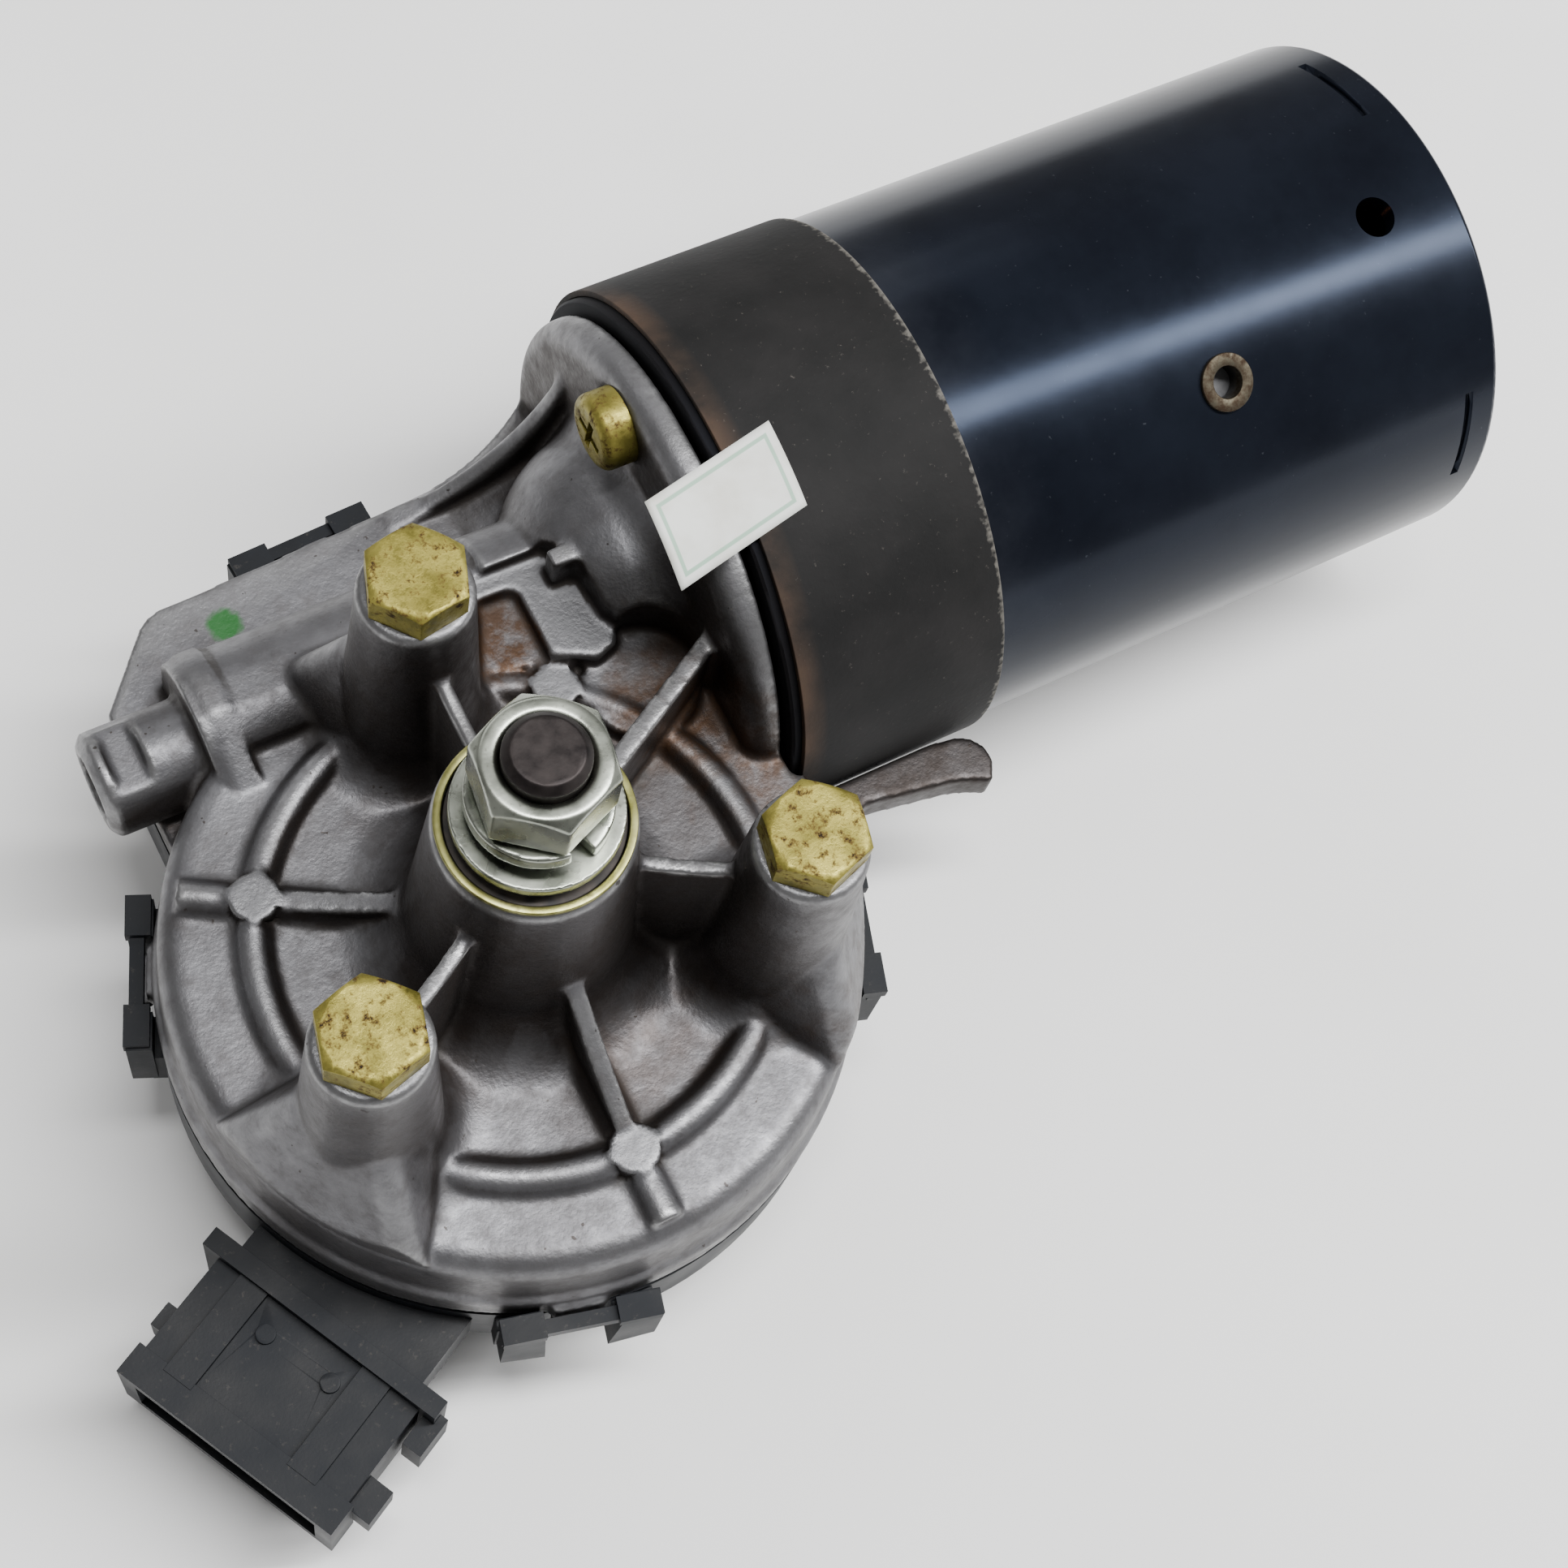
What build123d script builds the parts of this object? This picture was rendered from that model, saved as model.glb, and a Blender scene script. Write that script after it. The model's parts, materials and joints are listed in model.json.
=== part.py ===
from build123d import *
from math import acos, cos, degrees, pi, radians, sin, sqrt, tan
import os

# Wiper motor with a worm gearbox, in millimetres.
# The origin is on the output shaft's axis, level with the tops of the three mounting posts.
# Z points along the output shaft to its nut, X along the motor to its closed end.

# Worm and wheel
gear_module = 1.1
wheel_teeth = 56
pressure_angle = 20
worm_pitch_r = 5.2
tooth_depth_in = 1.35
flank_gap = 0.16
wheel_width = 6.8
worm_half = 13.0
wheel_pitch_r = gear_module * wheel_teeth / 2
wheel_tip_r = wheel_pitch_r + gear_module
worm_lead = pi * gear_module
worm_tip_r = worm_pitch_r + gear_module
worm_root_r = worm_pitch_r - tooth_depth_in
axis_y = wheel_pitch_r + worm_pitch_r

# Casting heights and radii
face_z = -31.2
skin = 2.4
wheel_gap = 0.5
joint_z = -46.0
disc_r = 38.5
foot_r = 39.5
cavity_r = wheel_tip_r + 1.3
ceiling_z = face_z - skin
wheel_top = ceiling_z - wheel_gap
axis_z = wheel_top - wheel_width / 2
wheel_low = wheel_top - wheel_width

# Mounting posts
post_circle_r = 27.5
post_angles = [90, 210, 330]
post_top_r = 6.15
bolt_r = 2.95
bolt_turns = [10, 15, 18]
bolt_flats = 10.0
bolt_head = 4.1
bolt_length = 16.0

# Face ribs and pads
rib_circle_r = 28.2
rib_r = 2.0
rib_z = face_z - 0.2
pad_r = 2.95
pad_z = face_z + 2.1
machined_z = -28.0
pocket_z = -29.6
land_z = -29.8
pad_angles = [150, 270, 55.5]
gusset_top = -8.0

# Output shaft stack
shaft_r = 5.0
shaft_top = 17.4
thread_r = 4.35
boss_top_r = 10.4
bush_r = 7.2
shaft_play = 0.03
nut_flats = 13.0
nut_low = 8.7
nut_top = 15.6
nut_turn = 22
washer_low = 1.8
washer_top = 3.4
washer_r = 8.7
spring_section = 2.3

# Worm tube and motor flange
tube_left = -22.2
end_boss_r = 6.2
end_boss_left = -34.3
plug_r = 3.6
worm_bore_r = 6.9
bell_r = 17.2
tube_end = 22.6
flange_x = 32.2
flange_back = 36.2
screw_angle = 73.5
screw_seat = flange_x + 0.3
screw_head_r = 4.5
screw_head = 4.0
screw_r = 1.95

# Motor can
can_left = 36.8
can_right = 136.2
can_r = 32.2
can_wall = 2.4
sleeve_left = 37.9
sleeve_right = 64.3
can_play = 0.05
sleeve_wall = 0.75
sleeve_r = can_r + can_play + sleeve_wall
flange_r = sleeve_r - 2.3
screw_circle_r = can_r - 7.2
end_plate_x = 131.6
end_plate_thick = 2.4
bush_x = 98.2
bush_angle = 121.9
hole_x = 124.6
hole_angle = 101.6
hole_r = 2.5
label_left = 27.5
label_angle = 107.3
label_half = 5.05
label_skew = 1.7
stake_angle = 67.3
stake_span = 23.0

# Armature
armature_r = 4.0
journal_r = 3.0
shaft_left = -20.8
shaft_right = 129.0
slot_count = 12
air_gap = 0.8
magnet_thick = 6.55
magnet_outer_r = can_r - can_wall - can_play
magnet_inner_r = magnet_outer_r - magnet_thick
core_r = magnet_inner_r - air_gap
core_left = 78.0
core_right = 116.0
magnet_overhang = 5.0
clip_overhang = 2.0
commutator_r = 11.5
commutator_left = 52.5
commutator_right = 66.5
bearing_left = 26.3
bearing_width = 7.0
bearing_r = 11.0
ball_count = 7
ball_r = 1.5
ball_circle_r = 7.55

# Brushes
brush_angles = [90, 270, 30]
brush_width = 5.0
brush_length = 8.0
brush_height = 7.0
brush_x = 59.0
brush_gap = 0.08
holder_wall = 0.5
holder_far = can_r - 4.2
brush_travel = 1.0
brush_pocket = 2.2
spring_wire_r = 0.3
spring_r = 1.45
spring_turns = 7
board_x = 50.0
board_thick = 1.8

# Rear cover and connector
gasket = 0.8
cover_top = joint_z - gasket
cover_floor = -57.0
cover_wall = 2.0
connector_angle = 206.95
connector_side = -8.35
flange_near = 42.4
flange_thick = 2.3
socket_depth = 15.8
flange_far = flange_near + flange_thick
socket_far = flange_far + socket_depth
body_half = 13.75
body_top = -50.2
body_low = -63.6
pin_count = 5
pin_pitch = 4.2
pin_z = -53.8
loop_angles = [255, 156.5, 341.5]
loop_half = 8.8
loop_reach = 3.1
board_z = -52.1

worm_line = Axis((0, axis_y, axis_z), (1, 0, 0))
worm_plane = Plane(origin=(0, axis_y, axis_z), x_dir=(1, 0, 0), z_dir=(0, 0, 1))
out_x = cos(radians(connector_angle))
out_y = sin(radians(connector_angle))
plug_plane = Plane(
    origin=(out_y * connector_side, -out_x * connector_side, 0),
    x_dir=(out_x, out_y, 0),
    z_dir=(0, 0, 1),
)


def polar(radius, angle):
    return radius * cos(radians(angle)), radius * sin(radians(angle))


def outline(start, *steps):
    """Closed face. A step is an end point, or a pair of middle and end points for an arc."""
    edges = []
    here = start
    for step in steps + (start,):
        if isinstance(step[0], tuple):
            edges.append(ThreePointArc(here, step[0], step[1]))
            here = step[1]
        elif step != here:
            edges.append(Line(here, step))
            here = step
    return make_face(edges)


def spun_z(start, *steps):
    """Solid of revolution about Z from an outline of (radius, height)."""
    return revolve(Plane.XZ * outline(start, *steps), Axis.Z)


def spun_x(start, *steps):
    """Solid of revolution about the worm's axis from an outline of (x, radius)."""
    return revolve(worm_plane * outline(start, *steps), worm_line)


def rod_z(radius, low, high, x=0, y=0):
    return Pos(x, y, (low + high) / 2) * Cylinder(radius, high - low)


def rod_x(radius, left, right, y=axis_y, z=axis_z):
    return Pos((left + right) / 2, y, z) * Rot(0, 90, 0) * Cylinder(radius, right - left)


def tube_z(outer, inner, low, high):
    return rod_z(outer, low, high) - rod_z(inner, low - 1, high + 1)


def tube_x(outer, inner, left, right):
    return rod_x(outer, left, right) - rod_x(inner, left - 1, right + 1)


def block(x0, x1, y0, y1, z0, z1):
    return Pos((x0 + x1) / 2, (y0 + y1) / 2, (z0 + z1) / 2) * Box(x1 - x0, y1 - y0, z1 - z0)


def slab(face, low, high):
    """Flat outline in X and Y, from one height to another."""
    return extrude(Pos(0, 0, low) * face, high - low)


def around(angle, shape):
    """Turn a shape about the motor's axis; it is drawn at the +Y side."""
    return Pos(0, axis_y, axis_z) * Rot(angle, 0, 0) * Pos(0, -axis_y, -axis_z) * shape


def upright(face, thickness, angle):
    """Flat rib drawn as (distance from the shaft, height), standing along one direction."""
    return Rot(0, 0, angle) * extrude(Plane.XZ * face, thickness / 2, both=True)


def hexagon_head(flats, low, high, turn, chamfer_r, slope):
    """Hexagon with its top corners turned off by a cone."""
    face = Rot(0, 0, turn) * RegularPolygon(flats / 2, 6, major_radius=False)
    prism = slab(face, low, high)
    corner = flats / sqrt(3) + 0.2
    drop = (corner - chamfer_r) * tan(radians(slope))
    cone = spun_z((0, low - 1), (corner, low - 1), (corner, high - drop), (chamfer_r, high), (0, high))
    return prism & cone


def drum():
    edge = disc_r - 3
    bend = 3 * (1 - sqrt(0.5))
    return spun_z(
        (0, joint_z),
        (foot_r, joint_z),
        (foot_r, joint_z + 4.3),
        (disc_r + 0.3, joint_z + 5.6),
        (disc_r, face_z - 3),
        ((disc_r - bend, face_z - bend), (edge, face_z)),
        (0, face_z),
    )


def boss():
    return spun_z(
        (0, face_z - 1),
        (20.2, face_z - 1),
        (20.2, face_z),
        ((14.55, -28.85), (12.2, -23.2)),
        (boss_top_r, -0.6),
        (boss_top_r - 0.6, 0),
        (0, 0),
    )


def post(angle):
    x, y = polar(post_circle_r, angle)
    column = spun_z(
        (0, face_z - 1),
        (13.2, face_z - 1),
        (13.2, face_z),
        ((9.3, -29.6), (7.7, -25.7)),
        (post_top_r, -0.4),
        (post_top_r - 0.4, 0),
        (0, 0),
    )
    return Pos(x, y, 0) * column


def buttress(angle):
    """Fan that carries a post out to the casting's rim."""
    foot = Polyline((21, -7), (21, 7), (39, 15), (39, -15), close=True)
    crest = Polyline((25, -2.5), (25, 2.5), (31, 3), (31, -3), close=True)
    low = Pos(0, 0, face_z - 1) * make_face(foot)
    high = Pos(0, 0, -11) * make_face(crest)
    fan = loft([low, high], ruled=True)
    ridges = fan.edges().sort_by(Axis.X)[-8:].filter_by(lambda e: abs((e @ 0).Z - (e @ 1).Z) > 5)
    return Rot(0, 0, angle) * fillet(ridges, 2.6)


def face_ribs():
    ring = Pos(0, 0, rib_z) * Torus(rib_circle_r, rib_r)
    shapes = ring
    rise_a = outline((9, face_z - 1), (9, -25.2), ((18, -28.2), (26.6, -29.5)), (26.6, face_z - 1))
    rise_b = outline((9, face_z - 1), (9, -16.0), ((17.2, -23.2), (26.8, -29.3)), (26.8, face_z - 1))
    shapes += upright(rise_a, 2.6, pad_angles[0])
    shapes += upright(rise_b, 2.2, pad_angles[1])
    for angle in pad_angles[:2]:
        spoke = Pos(23, 0, rib_z) * Rot(0, 90, 0) * Cylinder(rib_r, 27)
        shapes += Rot(0, 0, angle) * spoke
    for angle in pad_angles:
        x, y = polar(rib_circle_r, angle)
        shapes += rod_z(pad_r, face_z - 1, pad_z, x, y)
    return shapes


def gussets():
    """Thin upright ribs from the boss to each post, and the tall one towards the motor."""
    dip = (15, gusset_top - 1)
    short = outline((8, face_z - 1), (8, gusset_top), (dip, (22.5, gusset_top)), (22.5, face_z - 1))
    tall = outline((8, face_z - 1), (8, -18.6), ((24, -19.9), (38.4, -21.8)), (40, face_z - 1))
    shapes = upright(tall, 2.2, 30)
    for angle in post_angles:
        shapes += upright(short, 1.7, angle)
    return shapes


def worm_block():
    side = outline(
        (28.2, joint_z),
        (28.2, -33.2),
        ((30.9, -29.2), (34.8, -27.4)),
        (38.4, -27.4),
        ((43.7, -31.0), (45.9, axis_z)),
        (46.2, joint_z),
    )
    beam = extrude(Plane.YZ.offset(tube_left) * side, 26 - tube_left)
    beam -= block(tube_left + 4.2, -9.5, 26, 30.4, -33, -20)
    end_side = outline(
        (25.5, joint_z),
        (25.5, face_z - 0.4),
        ((29.6, -29.4), (34.8, -27.1)),
        (38.4, -27.1),
        ((44.0, -30.6), (46.4, axis_z)),
        (46.8, joint_z),
    )
    wall = extrude(Plane.YZ.offset(tube_left) * end_side, 4.2)
    rim = wall.faces().sort_by(Axis.X)[0].edges().filter_by(lambda e: e.center().Z > joint_z + 1)
    wall = fillet(rim, 2.2)
    tip = spun_x(
        (end_boss_left, 0),
        (end_boss_left, end_boss_r - 1.2),
        (end_boss_left + 0.9, end_boss_r),
        (tube_left + 1, end_boss_r),
        (tube_left + 1, 0),
    )
    flat = block(-32.3, -28.3, axis_y - 7, axis_y + 7, axis_z + 4.75, axis_z + 8)
    return beam + wall + (tip - flat)


def motor_flange():
    return spun_x(
        (14, 0),
        (14, 11.2),
        (20.4, 11.2),
        ((22.6, 13.7), (28.0, bell_r)),
        ((30.6, bell_r + 1.2), (flange_x, bell_r + 3.0)),
        (flange_x, flange_r - 2.8),
        ((flange_x + 0.8, flange_r - 0.8), (flange_x + 2.8, flange_r)),
        (flange_back, flange_r),
        (flange_back, 0),
    )


def plate_outline():
    return outline(
        (-29, 18),
        (-29, 45.4),
        (-22.0, 53.6),
        ((-20.0, 55.1), (-17.4, 55.5)),
        (12, 57.0),
        ((24, 59.6), (flange_back - 2, 66)),
        (flange_back - 2, 18),
    )


def base_plate():
    return slab(plate_outline(), joint_z, joint_z + 4.4)


def strut():
    """Rail that ties the base plate's edge to the motor flange, with a lower web behind the tube."""
    side = outline(
        (10, joint_z + 1),
        (10, joint_z + 4.6),
        (14.5, -40.8),
        ((25.6, -33.6), (flange_x + 1, -18)),
        (flange_x + 1, joint_z + 1),
    )
    rail = Pos(0, 56.6, 0) * extrude(Plane.XZ * side, 2.4)
    crest = rail.edges().filter_by(lambda e: e.length > 20 and e.center().Z > -38)
    rail = fillet(crest, 0.9)
    low_side = outline(
        (8, joint_z + 1),
        (8, -41.8),
        ((23, -40.0), (flange_x + 1, -31.5)),
        (flange_x + 1, joint_z + 1),
    )
    return rail + Pos(0, 54.8, 0) * extrude(Plane.XZ * low_side, 9.5)


def machined_faces(low, height):
    """Outlines milled beside the tube, raised by a height: the pad, its sunk corner, a round land."""
    pad = outline(
        (8.4, 38.6),
        (21.4, 38.6),
        (23.5, 35.2),
        (24.2, 28.2),
        ((24.9, 26.0), (24.2, 24.8)),
        (21.6, 23.9),
        (17.2, 26.2),
        (8.4, 28.3),
    )
    corner = outline((7, 35.9), (15.8, 35.6), ((16.5, 35.3), (16.7, 34.6)), (16.7, 24), (7, 24))
    return [
        slab(pad, low, machined_z + height),
        slab(corner, pocket_z, machined_z + 1 + height),
        rod_z(6.8, low, land_z + height, 25.2, 19.8),
    ]


def machined_flats():
    pad, corner, land = machined_faces(face_z - 1, 0)
    lug = block(20.6, 23.9, 33.9, 36.3, -30, machined_z + 5.2)
    return pad - corner + land + lug


def machined_room():
    """Space that the milling cutter clears above the flats."""
    pad, corner, land = machined_faces(land_z, 20)
    above = slab(Rectangle(200, 200), machined_z, 0)
    return (pad & above) + corner + (land - slab(Rectangle(200, 200), land_z - 9, land_z))


def tongue():
    """Curved lug alongside the can, low on the casting's front side."""
    shape = outline(
        (36, 2.5),
        ((47, 3.4), (59.6, 2.4)),
        ((62.3, 0.6), (62.8, -2.2)),
        (61.4, -4.6),
        ((59.0, -3.4), (56.6, -2.6)),
        (46, -0.8),
        (38.5, -4.5),
        (34, -6),
    )
    return slab(shape, joint_z, joint_z + 4.4)


def housing_bores():
    """Every machined or cored hollow in the casting."""
    cut = rod_z(cavity_r, joint_z - 1, ceiling_z)
    cut += rod_z(bush_r, ceiling_z - 1, -3.2)
    cut += rod_z(9.2, -3.2, 1)
    cut += rod_x(worm_bore_r, shaft_left + 5.4, bearing_left)
    cut += rod_x(end_boss_r - 0.1, shaft_left + 0.2, shaft_left + 5.4)
    cut += rod_x(4.15, shaft_left - 1.6, shaft_left + 0.3)
    cut += rod_x(plug_r + 0.05, end_boss_left - 1, shaft_left - 1.5)
    cut += rod_x(bearing_r, bearing_left, flange_back + 1)
    cut += rod_x(16.5, bearing_left + bearing_width + 1.2, flange_back + 1)
    for angle in post_angles:
        x, y = polar(post_circle_r, angle)
        cut += rod_z(bolt_r + 0.05, -bolt_length - 2, 1, x, y)
    for angle in (screw_angle, screw_angle + 180):
        hole = rod_x(screw_r + 0.05, flange_x - 12, flange_back + 1, axis_y + screw_circle_r)
        seat = rod_x(screw_head_r + 0.35, flange_x - 6, screw_seat, axis_y + screw_circle_r)
        cut += around(angle, hole + seat)
    return cut


def gear_housing():
    body = drum() + worm_block() + base_plate() - machined_room() + boss() + machined_flats()
    for angle in post_angles:
        body += post(angle)
        body += buttress(angle)
    body += face_ribs() + gussets()
    keep = rod_z(disc_r, face_z - 2, 5) + block(-60, 70, 18, 80, -80, 5) + rod_z(60, -80, face_z - 2)
    body = body & keep
    body += tongue()
    body -= rod_x(sleeve_r + 0.45, flange_back, sleeve_right + 8)
    for place in loop_locations():
        body += snap_lug(place)
    body += motor_flange() - block(0, tube_end, 20, 60, -60, joint_z) - machined_room()
    body += strut()
    return body - housing_bores()


def output_shaft():
    return spun_z(
        (0, wheel_low - 2.6),
        (shaft_r - 0.6, wheel_low - 2.6),
        (shaft_r, wheel_low - 2.0),
        (shaft_r, washer_low - 0.2),
        (thread_r + 0.1, nut_low - 0.4),
        (thread_r, nut_low),
        (thread_r, shaft_top - 0.8),
        (thread_r - 0.8, shaft_top),
        (0, shaft_top),
    )


def shaft_seal():
    return spun_z(
        (shaft_r + 0.35, -2.9),
        (9.1, -2.9),
        (9.1, 0.2),
        (8.0, 0.2),
        ((6.9, -0.5), (shaft_r + 0.9, 0.6)),
        (shaft_r + 0.35, 0.6),
    )


def seal_ring():
    return tube_z(10.1, 9.25, 0, 0.7)


def lock_washer():
    """One turn of square section, sprung open like a coil."""
    path = Helix(pitch=spring_section + 0.35, height=(spring_section + 0.35) * 0.94, radius=6.3)
    start = Plane(origin=path @ 0, x_dir=(1, 0, 0), z_dir=path % 0)
    coil = sweep(start * Rectangle(spring_section, spring_section), path=path, is_frenet=True)
    return Pos(0, 0, washer_top + spring_section / 2 + 0.1) * Rot(0, 0, -70) * coil


def shaft_nut():
    body = hexagon_head(nut_flats, nut_low, nut_top, nut_turn, nut_flats * 0.48, 44)
    bore = spun_z(
        (0, nut_low - 1),
        (thread_r + 0.6, nut_low - 1),
        (thread_r + 0.6, nut_low),
        (thread_r, nut_low + 0.6),
        (thread_r, nut_top - 0.55),
        (thread_r + 0.55, nut_top),
        (thread_r + 0.55, nut_top + 1),
        (0, nut_top + 1),
    )
    return body - bore


def mounting_bolts():
    group = []
    for angle, turn in zip(post_angles, bolt_turns):
        x, y = polar(post_circle_r, angle)
        head = hexagon_head(bolt_flats, 0, bolt_head, turn, bolt_flats * 0.47, 30)
        group.append(Pos(x, y, 0) * (head + rod_z(bolt_r, -bolt_length, 0.5)))
    return group


def involute_half_angle(radius):
    """Half the angle that a wheel tooth takes up at one radius."""
    base_r = wheel_pitch_r * cos(radians(pressure_angle))
    here = acos(base_r / radius)
    start = radians(pressure_angle)
    spread = (tan(start) - start) - (tan(here) - here)
    half_tooth = (worm_lead / 4 - flank_gap / 2) / wheel_pitch_r
    return degrees(half_tooth + spread)


def wheel_outline():
    """Toothed outline with a tooth gap facing the worm."""
    levels = [wheel_pitch_r - tooth_depth_in, wheel_pitch_r, wheel_tip_r]
    spans = [(radius, involute_half_angle(radius)) for radius in levels]
    step = 360 / wheel_teeth
    edges = []
    for i in range(wheel_teeth):
        middle = 90 + step * (i + 0.5)
        rise = [polar(radius, middle - half) for radius, half in spans]
        fall = [polar(radius, middle + half) for radius, half in reversed(spans)]
        edges.append(ThreePointArc(*rise))
        edges.append(Line(rise[2], fall[0]))
        edges.append(ThreePointArc(*fall))
        edges.append(Line(fall[2], polar(levels[0], middle + step - spans[0][1])))
    return make_face(edges)


def worm_wheel():
    """Helical wheel; its teeth lean by the worm's lead angle."""
    lean = worm_lead / (2 * pi * worm_pitch_r)
    turn = degrees(lean * wheel_width / wheel_pitch_r)
    face = Pos(0, 0, wheel_low) * Rot(0, 0, -turn / 2) * wheel_outline()
    gear = Solid.extrude_linear_with_rotation(
        face.face(), center=(0, 0, wheel_low), normal=(0, 0, wheel_width), angle=turn
    )
    hollow = tube_z(26.2, 10.0, wheel_low + 2.4, wheel_top + 1)
    for i in range(8):
        rib = block(9, 28, -0.9, 0.9, wheel_low, wheel_top - 0.6)
        hollow -= Rot(0, 0, i * 45) * rib
    return Part() + gear - hollow - rod_z(8.0, wheel_low - 1, wheel_top + 1)


def wheel_hub():
    return tube_z(8.0, shaft_r, wheel_low - 0.6, wheel_top) + tube_z(9.4, 8.0, wheel_low - 0.6, wheel_low)


def contact_disc():
    """Park switch track under the wheel, with the gap that marks the park position."""
    track = tube_z(24.5, 11.0, wheel_low - 0.4, wheel_low)
    gap = Rot(0, 0, 20) * block(15, 20, -4.5, 4.5, wheel_low - 1, wheel_low + 1)
    return track - gap


def worm_thread():
    half_top = worm_lead / 4 - gear_module * tan(radians(pressure_angle)) - flank_gap / 2
    base_r = worm_root_r - 0.3
    half_base = half_top + (worm_tip_r - base_r) * tan(radians(pressure_angle))
    length = 2 * worm_half - 1
    path = Helix(pitch=worm_lead, height=length, radius=worm_pitch_r)
    tooth = outline(
        (base_r, -half_base),
        (worm_tip_r, -half_top),
        (worm_tip_r, half_top),
        (base_r, half_base),
    )
    thread = sweep(Plane.XZ * tooth, path=path, is_frenet=True)
    # The thread's middle crosses X = 0 on the side that faces the wheel.
    lift = length / 2
    turns = lift / worm_lead
    return Rot(0, 0, -360 * turns) * Pos(0, 0, -lift) * thread


def armature_shaft():
    shaft = spun_x(
        (shaft_left, 0),
        (shaft_left, journal_r - 0.5),
        (shaft_left + 0.5, journal_r),
        (shaft_left + 5.6, journal_r),
        (shaft_left + 6.2, worm_root_r),
        (14.6, worm_root_r),
        (15.2, armature_r),
        (shaft_right - 0.5, armature_r),
        (shaft_right, armature_r - 0.5),
        (shaft_right, 0),
    )
    thread = Pos(0, axis_y, axis_z) * Rot(0, 90, 0) * Rot(0, 0, -90) * worm_thread()
    return shaft + thread


def motor_can():
    body = spun_x(
        (can_left, can_r - can_wall),
        (can_left, can_r - 0.3),
        (can_left + 0.3, can_r),
        (can_right - 1.0, can_r),
        ((can_right - 0.3, can_r - 0.3), (can_right, can_r - 1.0)),
        (can_right, can_r - can_wall),
    )
    floor_r = can_r - 0.9
    top_r = can_r + 1
    near = end_plate_x - 0.6
    far = end_plate_x + 0.6
    groove = revolve(
        worm_plane * outline((near, floor_r), (near, top_r), (far, top_r), (far, floor_r)),
        worm_line,
        revolution_arc=stake_span,
    )
    for i in range(4):
        body -= around(stake_angle + 90 * i - stake_span / 2, groove)
    for angle in (screw_angle, screw_angle + 180):
        low = axis_y + can_r - 12.2
        tab = block(can_left, can_left + 3.2, low, low + 11.2, axis_z - 6, axis_z + 6)
        hole = rod_x(screw_r, can_left - 1, can_left + 5, axis_y + screw_circle_r)
        body += around(angle, tab - hole)
    body -= around(hole_angle, radial_rod(hole_r, hole_x, 24, 40))
    body -= around(bush_angle, radial_rod(3.0, bush_x, 24, 40) + radial_rod(3.4, bush_x, can_r - 0.15, 40))
    return body


def radial_rod(radius, x, near, far):
    """Rod standing out from the motor's axis towards +Y."""
    middle = axis_y + (near + far) / 2
    return Pos(x, middle, axis_z) * Rot(90, 0, 0) * Cylinder(radius, far - near)


def can_bush():
    body = radial_rod(3.0, bush_x, can_r - can_wall, can_r)
    body += radial_rod(3.4, bush_x, can_r - 0.15, can_r + 0.45)
    return around(bush_angle, body - radial_rod(1.9, bush_x, 20, 40))


def thrust_plug():
    left = end_boss_left + 0.7
    body = rod_x(plug_r, left, shaft_left - 1.6)
    slot = block(left - 1, left + 1.5, axis_y - 2.6, axis_y + 2.6, axis_z - 0.6, axis_z + 0.6)
    return body - around(25, slot)


def worm_bush():
    return tube_x(end_boss_r - 0.12, journal_r + shaft_play, shaft_left + 0.3, shaft_left + 5.3)


def bearing_retainer():
    """Ring that holds the ball bearing in the casting."""
    left = bearing_left + bearing_width + 0.1
    return tube_x(bearing_r - 0.05, 7.8, left, left + 0.8)


def ball_ring():
    group = []
    for i in range(ball_count):
        group.append(around(360 / ball_count * i, bearing_place() * Sphere(ball_r)))
    return group


def bearing_place():
    return Pos(bearing_left + bearing_width / 2, axis_y + ball_circle_r, axis_z)


def bearing_cage():
    middle = bearing_left + bearing_width / 2
    ring = tube_x(ball_circle_r + 0.6, ball_circle_r - 0.6, middle - 2.2, middle + 2.2)
    for i in range(ball_count):
        ring -= around(360 / ball_count * i, bearing_place() * Sphere(ball_r + 0.03))
    return ring


def lamination_core():
    """Stack with closed-in slots for the windings."""
    step = 360 / slot_count
    face = Circle(core_r) - Circle(armature_r)
    for i in range(slot_count):
        pocket = Pos(core_r - 6.8, 0) * RectangleRounded(9.6, 5.0, 0.5)
        mouth = Pos(core_r, 0) * Rectangle(6, 1.8)
        face -= Rot(0, 0, step * i) * (pocket + mouth)
    return Pos(core_left, axis_y, axis_z) * Rot(0, 90, 0) * extrude(face, core_right - core_left)


def armature_windings():
    """Copper bundles in the slots, joined by a rounded coil head at each end."""
    rim = core_r - 2.1
    left = core_left - 0.1
    right = core_right + 0.1
    front = spun_x(
        (left - 6.9, 9.5),
        ((left - 7.7, rim - 5.8), (left - 5.9, rim - 0.7)),
        (left, rim),
        (left, 7.5),
        (left - 4.4, 7.5),
    )
    back = spun_x(
        (right, 7.5),
        (right, rim),
        ((right + 5.1, rim - 4.8), (right + 4.5, 9.5)),
        (right + 3.4, 7.5),
    )
    shape = front + back
    for i in range(slot_count):
        low = axis_y + rim - 9.3
        bundle = block(left - 1, right + 1, low, low + 9.2, axis_z - 2.3, axis_z + 2.3)
        shape += around(360 / slot_count * i, bundle)
        groove = rod_x(0.7, left - 10, left - 0.5, axis_y + rim + 0.3)
        shape -= around(360 / slot_count * (i + 0.5), groove)
    return shape


def commutator_core():
    return tube_x(8.4, armature_r, commutator_left, commutator_right + 1.5)


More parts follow.
